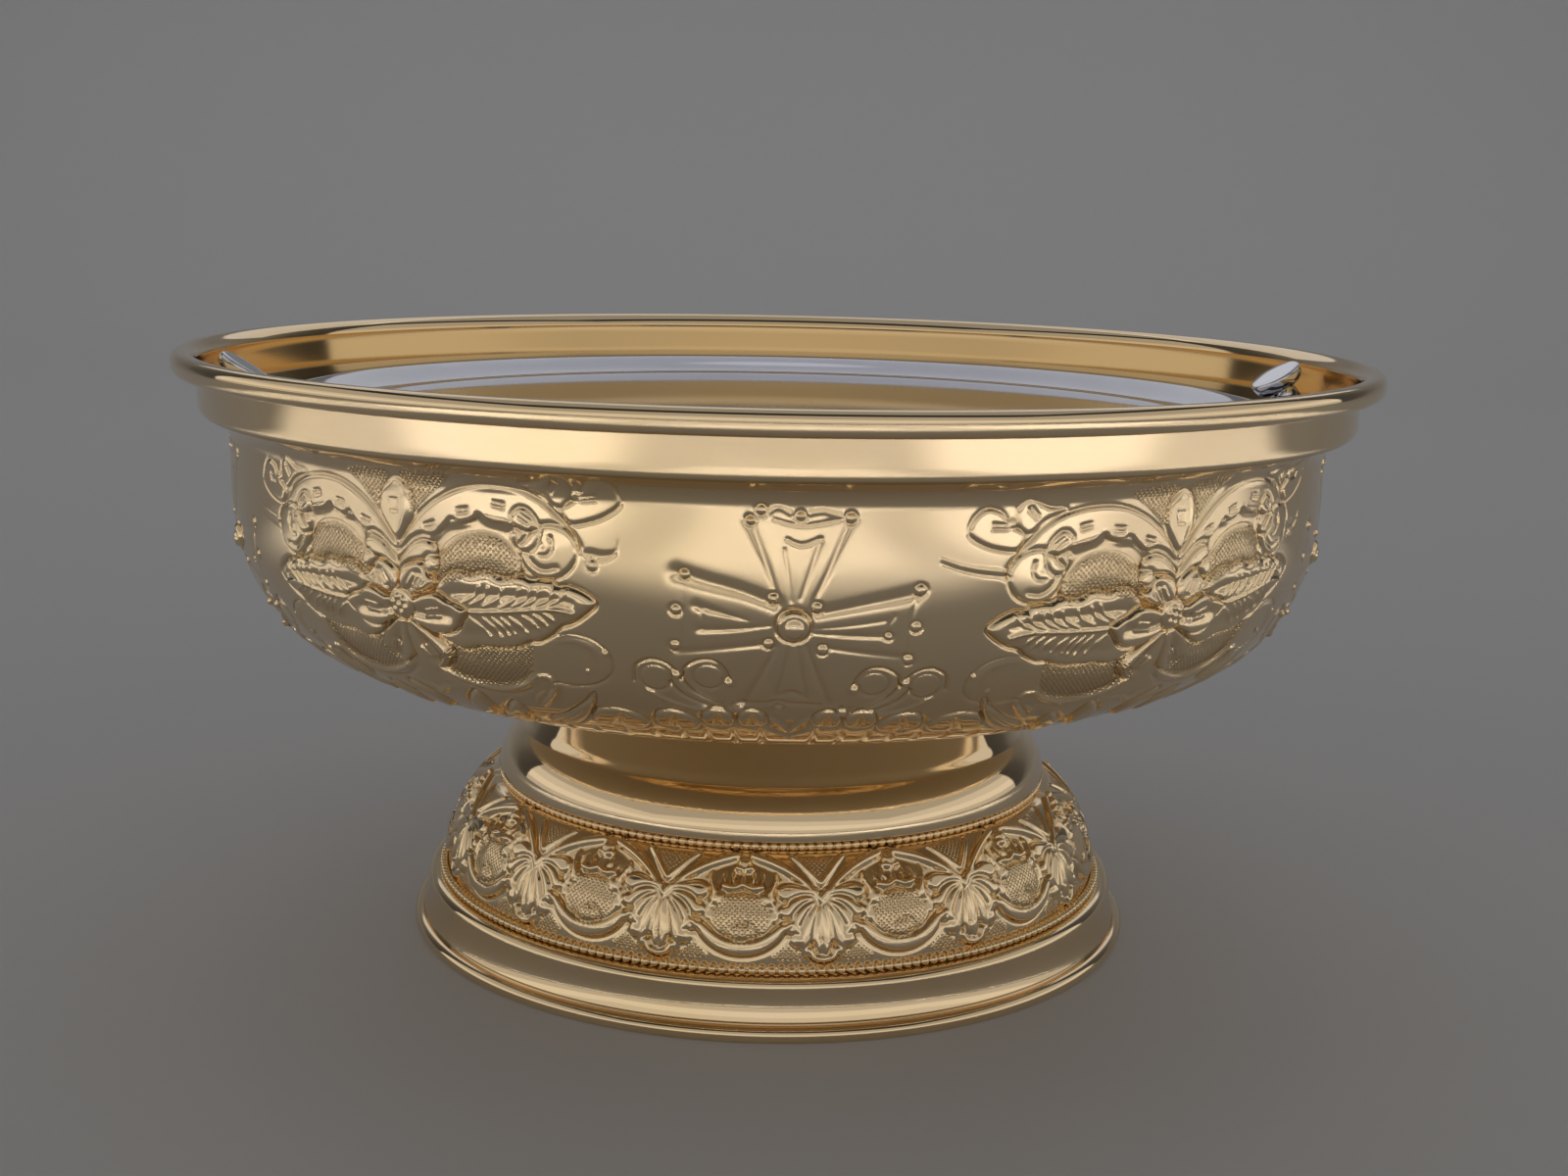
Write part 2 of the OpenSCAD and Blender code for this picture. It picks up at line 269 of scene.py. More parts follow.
def draw_half(F, side, shear):
    """Half of a flower panel with its scrolls, from the flower's axis towards the cross."""

    def m(pts):
        p = np.array(pts, float)
        u = HALF - p[:, 0]
        return np.stack([side * p[:, 0], p[:, 1] - shear * u], -1)

    def hatch(cx, cv, ang, gap=0.68, half=0.95, w=0.26, h=-0.45):
        for k in (-0.5, 0.5):
            ox, ov = -math.sin(ang) * gap * k, math.cos(ang) * gap * k
            dx, dv = math.cos(ang) * half, math.sin(ang) * half
            F.line(m([(cx + ox - dx, cv + ov - dv), (cx + ox + dx, cv + ov + dv)]), w, h, 1.1, 0.7, smooth=1)

    # the whole panel is a little duller than the bright ground
    F.patch("F", m([(29, 8), (36, 4), (44, 4), (54, 3.6), (62, 3), (68.7, 2.6), (70.5, 20), (69.5, 34), (64, 40), (54, 43),
                    (45, 41), (43, 32), (36, 28.5), (31.5, 24.5), (35, 20), (33.5, 15)]), 1.0, 1.5)
    F.patch("S", m([(56.6, 3.0), (60, 2.0), (64, 1.8), (67.7, 2.2), (66.4, 5.0), (65.2, 9.2), (62.6, 7.4), (60.0, 5.4)]), 1.0)

    # matted crescent under the leaf, with its rolled lower edge
    F.plate(m([(43.7, 31.5), (43.9, 35), (45.2, 38.2), (48, 40.0), (52.5, 41.0), (57, 40.6), (61, 39.2), (64.5, 36.9),
               (62.5, 33), (56, 31.4), (48, 31)]), -0.45, 1.0, groove=0.0, stipple=1.0, crown=0.20, wide=5)
    F.line(m([(44.2, 37.7), (46.5, 39.7), (50, 41.1), (53.5, 41.6), (57, 41.0), (61, 39.6), (64.3, 37.7), (66.6, 35.8),
              (68.7, 33.6)]), 0.36, 0.30, 0.8, 1.2)
    F.line(m([(46.2, 41.0), (50, 42.5), (53.5, 43.0), (57.5, 42.4), (61.8, 40.9), (66.0, 37.9)]), 0.6, -0.30, 0.5, 0.9)

    # sunk field under the arch with a matted cushion in it
    F.plate(m([(44.2, 20.4), (43.6, 16.4), (45.2, 13.2), (44.2, 11.6), (47.2, 11.1), (50.2, 10.4), (52.4, 9.5), (55.4, 10.6),
               (58.2, 10.9), (60.6, 12.4), (62.4, 14.4), (62.6, 19.0), (61.8, 21.6), (55, 20.1), (50, 19.8)]),
            -1.00, 1.5, groove=0.0)
    F.plate(m([(45.2, 20.6), (45.0, 17.2), (46.4, 14.9), (49.0, 13.3), (52.3, 12.8), (55.6, 13.3), (58.4, 14.7), (60.4, 16.8),
               (61.0, 20.9), (55, 20.0), (50, 19.8)]), 0.45, 0.8, base=-0.72, groove=0.0, crown=0.42, wide=4.0, stipple=1.0)
    F.line(m([(45.2, 16.8), (46.5, 14.8), (49.0, 13.2), (52.3, 12.7), (55.6, 13.2), (58.5, 14.6), (60.5, 16.8)]), 0.28, 0.30)

    # serrated leaf: bevelled rim, flat blade, raised midrib and veins
    leaf = [(31.6, 24.2), (33.6, 22.4), (36.3, 21.3), (38.0, 21.3), (39.6, 20.2), (42.6, 20.2), (44.6, 19.5), (48.0, 19.8),
            (50.6, 18.7), (53.6, 19.2), (55.8, 18.6), (58.6, 19.0), (61.6, 21.4), (64.5, 24.5), (62.5, 29.9), (59.2, 32.1),
            (56.6, 32.9), (53.8, 32.1), (50.0, 32.3), (46.2, 31.9), (43.6, 30.9), (41.8, 30.8), (39.4, 29.5), (37.8, 28.2),
            (35.4, 27.4), (33.0, 25.8)]
    F.plate(m(leaf), 0.48, 1.9, base=0.02, groove=0.45, gw=0.40, smooth=4)
    F.line(m([(35.6, 23.9), (39, 23.2), (44, 22.8), (50, 22.5), (56, 22.3), (60.5, 23.0)]), 1.0, -0.30, 0.5, 1.0)
    F.line(m([(37.0, 26.6), (42, 28.2), (49, 28.9), (56.5, 29.2), (60.5, 28.7)]), 1.4, -0.24, 0.5, 1.1)
    F.line(m([(35.4, 25.6), (38.0, 25.0), (41.0, 24.9), (46, 25.2), (52, 25.4), (55.8, 25.3)]), 0.30, 0.40, 1.2, 0.8)
    for x0, v0, x1, v1 in ((36.2, 21.9, 40.0, 24.5), (38.4, 22.1, 42.2, 24.5), (40.7, 21.7, 44.4, 24.6), (42.3, 21.7, 46.0, 24.5),
                           (44.5, 21.6, 48.4, 24.8), (47.6, 21.8, 51.4, 24.5), (50.2, 21.4, 54.0, 24.3), (52.0, 21.2, 55.8, 24.1)):
        F.line(m([(x0, v0), (x0 + (x1 - x0) * 0.30, v0 + (v1 - v0) * 0.55), (x1, v1)]), 0.22, 0.28, 1.0, 0.7)
    for x0, v0, x1, v1 in ((41.2, 25.3, 38.6, 27.0), (42.6, 25.6, 40.0, 27.8), (44.2, 26.0, 41.7, 28.2), (46.6, 26.3, 43.9, 28.9),
                           (48.2, 26.4, 46.2, 29.2), (49.9, 26.4, 47.3, 29.5), (51.6, 26.4, 48.8, 29.8), (54.4, 26.4, 50.9, 29.7)):
        F.line(m([(x0, v0), ((x0 + x1) / 2 - 0.3, (v0 + v1) / 2 - 0.2), (x1, v1)]), 0.25, 0.30, 0.6, 1.15)

    # arched scroll with a lobed inner edge
    arch = [(68.7, 15.0), (66.3, 11.9), (63.4, 9.1), (60.2, 7.0), (56.2, 5.4), (52.0, 4.8), (48.0, 5.0), (44.2, 5.8),
            (41.0, 7.3), (38.2, 9.5), (36.0, 12.0), (34.5, 14.9), (36.0, 16.2), (39.5, 14.6), (41.0, 12.4),
            (41.6, 13.8), (43.0, 15.3), (44.6, 15.2), (45.2, 13.4), (44.4, 12.0), (46.6, 11.2), (49.6, 10.7), (51.8, 9.4),
            (52.8, 10.3), (55.6, 10.9), (57.2, 10.2), (58.6, 11.4), (61.0, 12.9), (63.2, 12.6), (65.6, 13.4), (67.4, 14.7)]
    F.plate(m(arch), 0.36, 0.5, base=0.04, groove=0.34, gw=0.36, smooth=5)
    F.line(m([(44.8, 11.7), (47.0, 10.8), (49.8, 10.2), (51.9, 9.2)]), 0.35, 0.24)
    F.line(m([(39.4, 8.5), (37.2, 10.7), (35.4, 13.2), (34.4, 15.0)]), 0.75, -0.55, 0.35, 1.0)
    for cx, cv, ang in ((61.6, 11.2, 0.20), (55.0, 8.9, 0.05), (48.2, 8.0, -0.22)):
        hatch(cx, cv, ang)
    # rolled end of the scroll
    F.plate(m([(39.4 + 4.9 * math.cos(t), 15.6 + 4.5 * math.sin(t)) for t in np.linspace(0, 2 * PI, 14)[:-1]]),
            0.30, 0.6, base=0.12, groove=0.34, gw=0.36, crown=0.24, wide=4.6, smooth=4)
    F.line(m([(42.6, 12.6), (43.2, 14.8), (42.4, 17.0), (40.4, 18.4), (38.0, 18.2)]), 0.75, -0.70, 0.6, 0.5)
    F.dome(m([(40.2, 14.6)])[0], 0.85, 0.40, base=0.30)
    F.line(m([(38.9, 13.4), (38.6, 14.8), (39.4, 16.1), (40.8, 16.2)]), 0.36, -0.50, 1.0, 0.5)
    # second lobe and inner hook of the scroll
    F.plate(m([(40.6, 11.6), (41.0, 14.0), (42.2, 15.4), (44.0, 15.5), (44.7, 14.6), (43.2, 13.6), (42.0, 12.2)]),
            0.30, 0.7, base=0.36, groove=0.30, gw=0.32)
    F.plate(m([(40.9, 11.9), (41.6, 10.2), (43.0, 8.8), (44.6, 8.5), (45.8, 9.6), (45.7, 11.1), (44.4, 12.0), (42.6, 12.3)]),
            0.36, 0.8, base=0.30, groove=0.36, gw=0.34, crown=0.10, wide=1.8)
    hatch(43.4, 10.4, -0.62, 0.68, 0.95)

    # leaflets at the foot of the arch
    F.plate(m([(60.8, 16.4), (61.2, 14.4), (62.8, 13.7), (65.0, 14.3), (67.2, 15.9), (68.7, 17.7), (68.7, 19.6), (66.4, 17.6),
               (63.6, 17.0), (62.0, 17.2)]), 0.40, 0.9, base=0.22, groove=0.34, gw=0.36)
    F.plate(m([(60.4, 17.0), (61.4, 15.9), (62.9, 16.7), (62.9, 18.5), (61.7, 19.2), (60.5, 18.5)]), 0.35, 0.7, base=0.25,
            groove=0.30, gw=0.34, crown=0.15, wide=1.5)

    # petals with raised rims: upper, lower and side
    F.plate(m([(68.6, 21.8), (68.4, 18.8), (66.6, 17.6), (64.0, 17.4), (62.6, 18.8), (61.2, 20.6), (62.6, 22.0), (65.2, 22.8),
               (67.2, 23.2)]), 0.55, 0.9, base=0.28, groove=0.36, gw=0.38)
    F.line(m([(67.0, 22.4), (65.2, 20.6), (64.0, 19.4)]), 1.25, -0.55, 0.6, 1.05)
    F.plate(m([(67.2, 26.8), (63.4, 29.6), (60.6, 33.2), (61.6, 36.0), (64.0, 37.0), (66.6, 35.6), (68.7, 33.4), (68.7, 27.6)]),
            0.55, 0.9, base=0.24, groove=0.36, gw=0.38)
    F.line(m([(67.4, 28.4), (65.6, 31.0), (64.0, 34.2)]), 1.5, -0.55, 0.5, 1.1)
    F.plate(m([(54.8, 25.2), (56.6, 24.2), (58.8, 23.5), (60.6, 22.3), (62.8, 22.3), (65.0, 23.0), (66.8, 24.0), (66.8, 27.0),
               (64.2, 28.6), (61.6, 29.6), (59.0, 29.3), (57.2, 28.4), (56.6, 27.6), (55.5, 26.4)]),
            0.58, 0.9, base=0.42, groove=0.40, gw=0.38)
    F.line(m([(66.2, 25.4), (62.8, 25.8), (58.8, 25.8)]), 1.6, -0.58, 0.6, 1.05)
    for dv in (-0.65, 0.0, 0.65):
        F.line(m([(60.4, 25.6 + dv), (63.2, 25.8 + dv * 0.8)]), 0.26, 0.34, smooth=1)
    for dx in (-0.85, 0.0, 0.85):
        F.line(m([(64.4 + dx, 19.6 - dx * 0.2), (65.6 + dx, 21.3 - dx * 0.3)]), 0.26, 0.34, smooth=1)
        F.line(m([(64.2 + dx, 34.0 + dx * 0.2), (65.4 + dx, 32.0 + dx * 0.3)]), 0.26, 0.34, smooth=1)

    # lobed flourishes between the scroll and the cross
    F.plate(m([(35.6, 6.8), (35.6, 4.6), (37.2, 3.3), (39.4, 3.8), (41.4, 4.6), (44.4, 5.0), (40.6, 6.6), (38.4, 8.4),
               (36.6, 8.6)]), 0.36, 0.5, base=0.02, groove=0.32, gw=0.36)
    F.plate(m([(27.4, 8.4), (28.2, 5.9), (30.2, 4.5), (32.6, 5.0), (33.8, 6.4), (34.8, 7.4), (37.0, 8.8), (36.0, 11.2),
               (33.2, 11.2), (29.8, 10.2)]), 0.40, 0.5, base=0.02, groove=0.36, gw=0.36)
    F.dome(m([(34.6, 7.0)])[0], 0.8, 0.45, base=0.15)
    hatch(32.6, 7.4, 0.06, 0.70, 1.2)
    hatch(38.4, 5.4, 0.85, 0.68, 0.95)
    if side > 0:
        F.line(m([(23.0, 12.2), (26.0, 13.3), (29.0, 14.0), (32.5, 14.5), (34.6, 14.9)]), 0.34, 0.26, 0.5, 1.0)
        F.line(m([(23.0, 13.0), (26.0, 14.1), (29.0, 14.8), (32.5, 15.3), (34.4, 15.6)]), 0.40, -0.20, 0.5, 1.0)
    else:
        F.plate([(-33.6, 12.7), (-32.5, 12.0), (-30.4, 12.2), (-28.6, 11.9), (-28.0, 10.4), (-27.8, 12.0), (-28.3, 12.9),
                 (-29.5, 13.7), (-31.3, 14.0), (-32.6, 13.5)], -0.50, 0.8, groove=0.10, gw=0.3)
        F.dome((-32.0, 14.6), 0.85, 0.40)
        F.ringcut((-32.0, 14.6), 0.9, 0.26, 0.22)

    # scrolls under the cross
    dv0 = 1.1 if side > 0 else 0.0

    def low(pts):
        p = np.array(pts, float)
        return np.stack([side * p[:, 0], p[:, 1] + dv0], -1)

    for cx, cv, r in ((13.7, 32.8, 2.5), (22.6, 33.5, 2.7)):
        F.ringcut(low([(cx, cv)])[0], r, 0.28, 0.24)
    F.line(low([(18.2, 33.6), (17.6, 31.2), (15.2, 29.6), (12.6, 29.7), (10.9, 31.4), (10.4, 33.4)]), 0.36, -0.38, 0.8, 1.0)
    F.line(low([(26.4, 34.4), (25.8, 31.4), (23.2, 29.9), (20.5, 30.6), (19.0, 32.2)]), 0.36, -0.38, 0.8, 1.0)
    for cx, cv in ((10.4, 33.8), (19.0, 32.6)):
        F.dome(low([(cx, cv)])[0], 0.72, 0.50)
    F.line(low([(18.3, 33.4), (16.6, 36.0), (13.6, 38.0), (10.2, 39.0)]), 0.42, -0.42, 0.9, 1.0)
    F.line(low([(15.8, 35.8), (13.0, 37.9), (10.0, 39.2)]), 0.40, 0.34, 0.6, 1.0)
    F.line(low([(20.2, 34.4), (18.4, 37.0), (15.6, 39.0), (12.6, 40.0), (9.8, 39.8)]), 0.42, -0.42, 0.9, 1.0)
    F.line(low([(24.4, 36.2), (21.4, 38.2), (18.0, 39.8), (14.6, 40.6)]), 0.40, 0.34, 0.6, 1.0)
    F.dome(low([(8.9, 39.3)])[0], 1.05, 0.75)

    # large lobe beside the crescent
    F.line(m([(39.6, 29.8), (36.4, 29.3), (33.0, 30.2), (30.6, 32.2), (29.6, 34.8), (30.4, 37.4), (33.4, 39.4), (37.6, 39.9), (41.0, 39.0)]),
           0.34, -0.34, 0.3, 0.9)
    F.line(m([(38.8, 30.8), (35.6, 30.6), (32.8, 31.8), (31.2, 34.0), (31.2, 36.4)]), 0.9, 0.22, 0.3, 1.0)
    F.dome(m([(30.7, 33.0)])[0], 0.55, 0.34)
    F.dome(m([(34.2, 36.4)])[0], 0.55, 0.34)
    # small curls and leaf tips under the panel
    F.line(m([(43.6, 37.6), (42.0, 37.6), (41.1, 38.8), (41.4, 40.6), (43.2, 42.8), (45.6, 45.2)]), 0.5, 0.46, 0.8, 1.0)
    F.line(m([(44.0, 41.6), (45.6, 43.0), (46.4, 44.6)]), 0.5, 0.40, 0.7, 0.9)
    F.plate(m([(59.6, 43.0), (62.4, 44.2), (64.8, 47.4), (64.6, 52.0), (60.6, 53.2), (58.8, 48.4)]), 0.50, 1.4, groove=0.3)
    F.plate(m([(51.8, 45.2), (54.6, 46.8), (56.6, 49.6), (56.2, 54.0), (52.6, 54.8), (51.0, 50.0)]), 0.50, 1.4, groove=0.3)
    F.line(m([(64.0, 42.0), (66.6, 42.4), (68.7, 43.6)]), 0.7, 0.36, 0.5, 1.0)

    # acanthus leaves round the bottom: hollowed blades with raised rims
    calyx = ([(34.2, 38.2), (36.4, 40.6), (39.6, 43.6), (43.0, 46.4), (47.2, 48.8), (46.6, 51.4), (41.6, 50.2), (38.0, 46.6),
              (35.4, 42.4)],
             [(25.6, 46.4), (27.0, 43.7), (30.0, 42.0), (33.6, 42.2), (36.0, 43.8), (37.2, 47.4), (32.4, 49.6), (27.6, 49.2)],
             [(16.0, 46.0), (17.4, 43.0), (20.2, 41.3), (23.0, 41.7), (24.6, 43.9), (24.0, 46.8), (20.4, 48.4), (17.2, 48.0)],
             [(9.8, 45.0), (10.2, 41.9), (12.4, 40.3), (14.8, 41.0), (16.0, 43.4), (15.0, 45.8), (12.2, 46.6)],
             [(3.7, 44.6), (4.3, 41.7), (6.2, 40.1), (8.2, 40.6), (9.4, 42.6), (9.0, 45.2), (6.4, 46.2)])
    for c in calyx:
        F.plate(low([(x, v - dv0) for x, v in c]), 0.30, 1.0, groove=0.34, gw=0.32)
    for pts in ([(30.2, 43.6), (31.6, 46.4), (32.6, 49.4)], [(20.4, 43.0), (21.2, 45.6), (21.4, 48.2)],
                [(12.6, 42.0), (12.8, 44.2), (12.4, 46.4)], [(6.4, 41.8), (6.6, 44.0), (6.3, 46.0)],
                [(36.4, 41.6), (40.0, 45.6), (45.0, 49.6)]):
        F.line(low([(x, v - dv0) for x, v in pts]), 0.9, -0.34, 0.5, 1.0)
        F.line(low([(x, v - dv0) for x, v in pts]), 0.30, 0.26, 0.5, 1.0)
    for x0, v0, x1 in ((32.0, 50.5, 33.6), (26.0, 50.0, 27.0), (20.4, 49.6, 21.0), (15.6, 48.6, 16.0), (10.4, 47.8, 10.6),
                       (5.0, 47.4, 5.1), (38.6, 51.6, 40.6), (45.2, 53.2, 47.2), (51.5, 55.4, 53.4), (58.2, 55.0, 60.0),
                       (64.8, 54.2, 66.2)):
        F.line(low([(x0, v0 - dv0), ((x0 + x1) / 2, v0 + 4 - dv0), (x1, v0 + 13 - dv0)]), 0.8, -0.45, 0.6, 1.0)
    F.line(low([(0.0, 47.0 - dv0), (1.5, 44.4 - dv0), (3.4, 42.6 - dv0)]), 0.5, 0.42, 0.7, 1.0)
    F.line(low([(0.0, 50.0 - dv0), (2.6, 47.8 - dv0), (4.2, 46.4 - dv0)]), 0.5, 0.36, 0.7, 1.0)


def bowl_field():
    F = Field(P_BOWL, 600, bowl_rows())
    for side, shear in ((1, 0.0), (-1, 0.095)):
        draw_half(F, side, shear)
    # bud between the arches, and the flower's eye, on the panel's axis
    c = HALF
    F.plate([(c, 13.6), (c - 2.2, 11.4), (c - 3.8, 8.6), (c - 3.3, 5.6), (c - 1.5, 3.9), (c, 3.2), (c + 1.6, 3.8), (c + 3.4, 5.6),
             (c + 3.9, 8.6), (c + 2.2, 11.4)], 0.40, 0.8, base=0.08, groove=0.36, gw=0.36, crown=0.16, wide=3.6)
    F.line([(c + 1.8, 4.4), (c + 2.2, 6.8), (c + 1.9, 9.4), (c + 0.8, 12.0)], 0.45, 0.36, 0.8, 0.8)
    F.line([(c + 3.0, 5.6), (c + 3.2, 8.2), (c + 2.4, 10.6)], 0.32, -0.26)
    for k in (-1, 0, 1):
        F.line([(c - 0.5 + 0.75 * k, 6.9), (c - 0.3 + 0.6 * k, 8.8)], 0.25, -0.36, smooth=1)
    F.dome((c, 24.4), 2.75, 0.30, base=0.72, flat=0.45)
    F.ringcut((c, 24.4), 2.75, 0.34, 0.40)
    F.ringcut((c, 24.4), 2.15, 0.26, 0.26)
    F.dome((c, 24.4), 0.62, 0.42, base=0.84)
    for k in range(6):
        a = k * PI / 3 + 0.3
        F.dome((c + 1.35 * math.cos(a), 24.4 + 1.35 * math.sin(a)), 0.56, 0.40, base=0.82)
    # shallow where the wall is upright, deeper where it turns under
    k = np.clip((F.v - 13.0) / 11.0, 0, 1)
    F.H *= (0.5 + 0.7 * k * k * (3 - 2 * k))[:, None]
    draw_cross(F)
    return F


# ---------------------------------------------------------------- foot ornament
R_FOOT = 66.0
P_FOOT = 2 * PI * R_FOOT / 14


def foot_field():
    rows = np.linspace(0, 23.33, 96)
    F = Field(P_FOOT, 124, rows)
    q = P_FOOT / 2

    def sym(fn, *args, **kw):
        for s in (1, -1):
            pts = [(s * x, v) for x, v in args[0]]
            fn(pts, *args[1:], **kw)

    # fine matting low down and in the spandrel
    sym(lambda p: F.patch("S", p, 0.9), [(5.4, 20.6), (8.2, 17.9), (10.6, 19.2), (12.0, 20.8), (9.0, 21.2)])
    sym(lambda p: F.patch("S", p, 0.8), [(10.4, 1.0), (q + 0.1, 1.0), (q + 0.1, 5.4), (13.2, 4.4)])
    F.patch("F", [(-q - 2, -1), (q + 2, -1), (q + 2, 24), (-q - 2, 24)], 1.0, 0.1)

    # hollow behind the fingers
    sym(F.plate, [(0.2, 1.6), (3.0, 1.9), (6.6, 3.6), (10.2, 5.8), (12.4, 8.0), (10.2, 10.4), (6.4, 9.4), (3.0, 8.0), (0.2, 7.6)],
        -0.45, 1.4, groove=0.0)
    # shield: matted cushion
    F.plate([(0, 8.4), (2.6, 8.6), (4.6, 10.6), (5.4, 12.8), (4.6, 15.4), (2.6, 17.4), (0, 18.2), (-2.6, 17.4), (-4.6, 15.4),
             (-5.4, 12.8), (-4.6, 10.6), (-2.6, 8.6)], 0.12, 0.8, groove=0.10, crown=0.30, wide=4.0, stipple=0.8)
    # pointed fingers that fan out under the rib
    for pts, w, h in (([(1.9, 4.2), (2.0, 5.6), (1.5, 7.0)], 0.45, 0.45),
                      ([(3.7, 4.8), (3.6, 6.4), (3.0, 8.2)], 0.52, 0.52),
                      ([(6.2, 4.6), (6.0, 6.6), (5.1, 8.6), (4.4, 10.2)], 0.70, 0.62),
                      ):
        sym(F.lobe, pts, w, h, 0.35, 1.15)
    # acanthus leaf: a scalloped fan that hangs from the V, cut into lobes
    fan = [(0.3, 8.6), (-3.0, 7.2), (-6.4, 6.5), (-8.4, 7.4), (-8.3, 9.2), (-6.7, 10.3), (-7.9, 11.1), (-7.8, 12.8), (-5.9, 13.4),
           (-6.8, 14.6), (-6.2, 16.1), (-4.3, 16.0), (-4.6, 17.6), (-3.3, 18.7), (-1.9, 17.7), (-1.3, 19.3), (0.3, 19.8)]
    sym(F.plate, [(q + x, v) for x, v in fan], 0.62, 0.55, base=0.06, groove=0.25, gw=0.40, smooth=3)
    for x, v, sag in ((-6.7, 10.3, 1.0), (-5.9, 13.4, 1.0), (-4.3, 16.0, 0.7), (-1.9, 17.7, 0.3)):
        x0, v0 = 0.14 * x - 0.1, 9.0 + 0.14 * (v - 9.0)
        d = math.hypot(x, v - 9.0)
        nx, nv = -(v - 9.0) / d * sag, x / d * sag
        pts = [(x0, v0), (x0 + 0.35 * (x - x0) + 0.8 * nx, v0 + 0.35 * (v - v0) + 0.8 * nv),
               (x0 + 0.7 * (x - x0) + 0.7 * nx, v0 + 0.7 * (v - v0) + 0.7 * nv), (x, v)]
        sym(F.line, [(q + a, c) for a, c in pts], 0.50, -0.56, 0.6, 1.0)
    # ribs that sweep down and meet in a V, with a smaller V above
    sym(F.lobe, [(2.0, 0.9), (5.2, 2.2), (8.0, 3.7), (10.6, 5.5), (12.9, 7.6), (q, 9.9)], 0.90, 0.80, 1.05, 0.65)
    sym(F.lobe, [(9.6, 0.8), (11.4, 2.7), (13.0, 4.6), (q, 6.7)], 0.52, 0.58, 0.8, 1.0)
    # ball on a small cup, and the bow under it
    F.lobe([(0, 4.4), (0, 6.8)], 0.48, 0.55, 0.8, 1.2)
    F.lobe([(-1.45, 3.6), (0, 4.0), (1.45, 3.6)], 0.48, 0.62)
    F.dome((0, 2.5), 1.25, 0.85, base=0.12)
    sym(F.lobe, [(0, 6.9), (1.7, 7.7), (3.5, 7.4)], 0.78, 0.80, 0.75, 0.95)
    F.line([(-3.6, 8.3), (-1.5, 8.6), (0, 8.0), (1.5, 8.6), (3.6, 8.3)], 0.32, -0.35)
    # curls at the corners of the shield, brackets and inner leaves
    for s in (1, -1):
        F.dome((s * 4.3, 9.6), 1.40, 0.62, base=0.16)
        F.ringcut((s * 4.3, 9.6), 0.78, 0.28, 0.15)
    sym(F.lobe, [(5.9, 10.6), (6.4, 12.0), (6.2, 13.6)], 0.42, 0.45)
    sym(F.lobe, [(5.7, 11.9), (5.2, 14.2), (3.9, 16.2)], 0.42, 0.42, 0.7, 1.0)
    # boss over the bar, the bar and its curled ends
    F.dome((-0.2, 16.0), 2.00, 0.72, base=0.16)
    F.line([(0.4, 13.9), (2.1, 14.6), (2.8, 16.6)], 0.30, -0.24)
    bar = [(8.6, 14.4), (7.4, 16.8), (5.4, 18.7), (2.8, 20.0), (0, 20.4)]
    hollow = [(0, 17.3), (2.3, 17.0), (4.4, 16.0), (6.1, 14.7), (7.4, 13.8)]
    ring = bar + [(-x, v) for x, v in bar[-2::-1]] + [(-x, v) for x, v in hollow[::-1]] + hollow[1:]
    F.plate(ring, 0.72, 0.50, base=0.06, groove=0.30, gw=0.40, crown=0.15, wide=1.0, smooth=2)
    sym(F.lobe, [(7.9, 15.2), (8.8, 14.2), (9.8, 14.5), (10.3, 15.5)], 0.62, 0.78)
    for s in (1, -1):
        F.dome((s * 10.5, 17.1), 1.55, 0.72, base=0.15)
        F.ringcut((s * 10.5, 17.1), 0.80, 0.28, 0.14)
    # drop under the acanthus
    sym(F.lobe, [(q, 20.7), (q - 1.7, 20.2), (q - 2.4, 18.9)], 0.80, 0.90, 1.0, 0.8)
    sym(F.lobe, [(q - 3.3, 19.6), (q - 3.5, 18.2), (q - 4.2, 17.3)], 0.62, 0.60)
    # edge line
    F.lobe([(-q - 1, 22.95), (q + 1, 22.95)], 0.36, 0.36, smooth=2)
    F.soften(1)
    return F


# ---------------------------------------------------------------- meshes
def profile_frame(pts):
    """Arc length and outward normal along an open profile of (r, z) points."""
    p = np.asarray(pts, float)
    d = np.gradient(p, axis=0)
    L = np.hypot(d[:, 0], d[:, 1])
    t = d / L[:, None]
    nrm = np.stack([-t[:, 1], t[:, 0]], -1)
    s = np.r_[0, np.cumsum(np.hypot(*np.diff(p, axis=0).T))]
    return s, nrm


def make_mesh(name, co, faces, smooth=True, sharp_deg=None, uv=None, attrs=None):
    me = bpy.data.meshes.new(name)
    nv, nf = len(co), len(faces)
    me.vertices.add(nv)
    me.vertices.foreach_set("co", ((np.asarray(co, np.float32) + (0, 0, LIFT)) * MM).astype(np.float32).ravel())
    k = faces.shape[1]
    me.loops.add(nf * k)
    me.polygons.add(nf)
    me.loops.foreach_set("vertex_index", faces.astype(np.int32).ravel())
    me.polygons.foreach_set("loop_start", np.arange(0, nf * k, k, dtype=np.int32))
    me.polygons.foreach_set("loop_total", np.full(nf, k, np.int32))
    me.polygons.foreach_set("use_smooth", np.full(nf, smooth, bool))
    me.update(calc_edges=True)
    me.validate()
    if uv is not None:
        lay = me.uv_layers.new(name="OFBake")
        lay.data.foreach_set("uv", np.asarray(uv, np.float32).ravel())
    for key, val in (attrs or {}).items():
        a = me.attributes.new(key, "FLOAT", "POINT")
        a.data.foreach_set("value", np.asarray(val, np.float32).ravel())
    if sharp_deg:
        me.set_sharp_from_angle(angle=math.radians(sharp_deg))
    ob = bpy.data.objects.new(name, me)
    bpy.context.collection.objects.link(ob)
    return ob


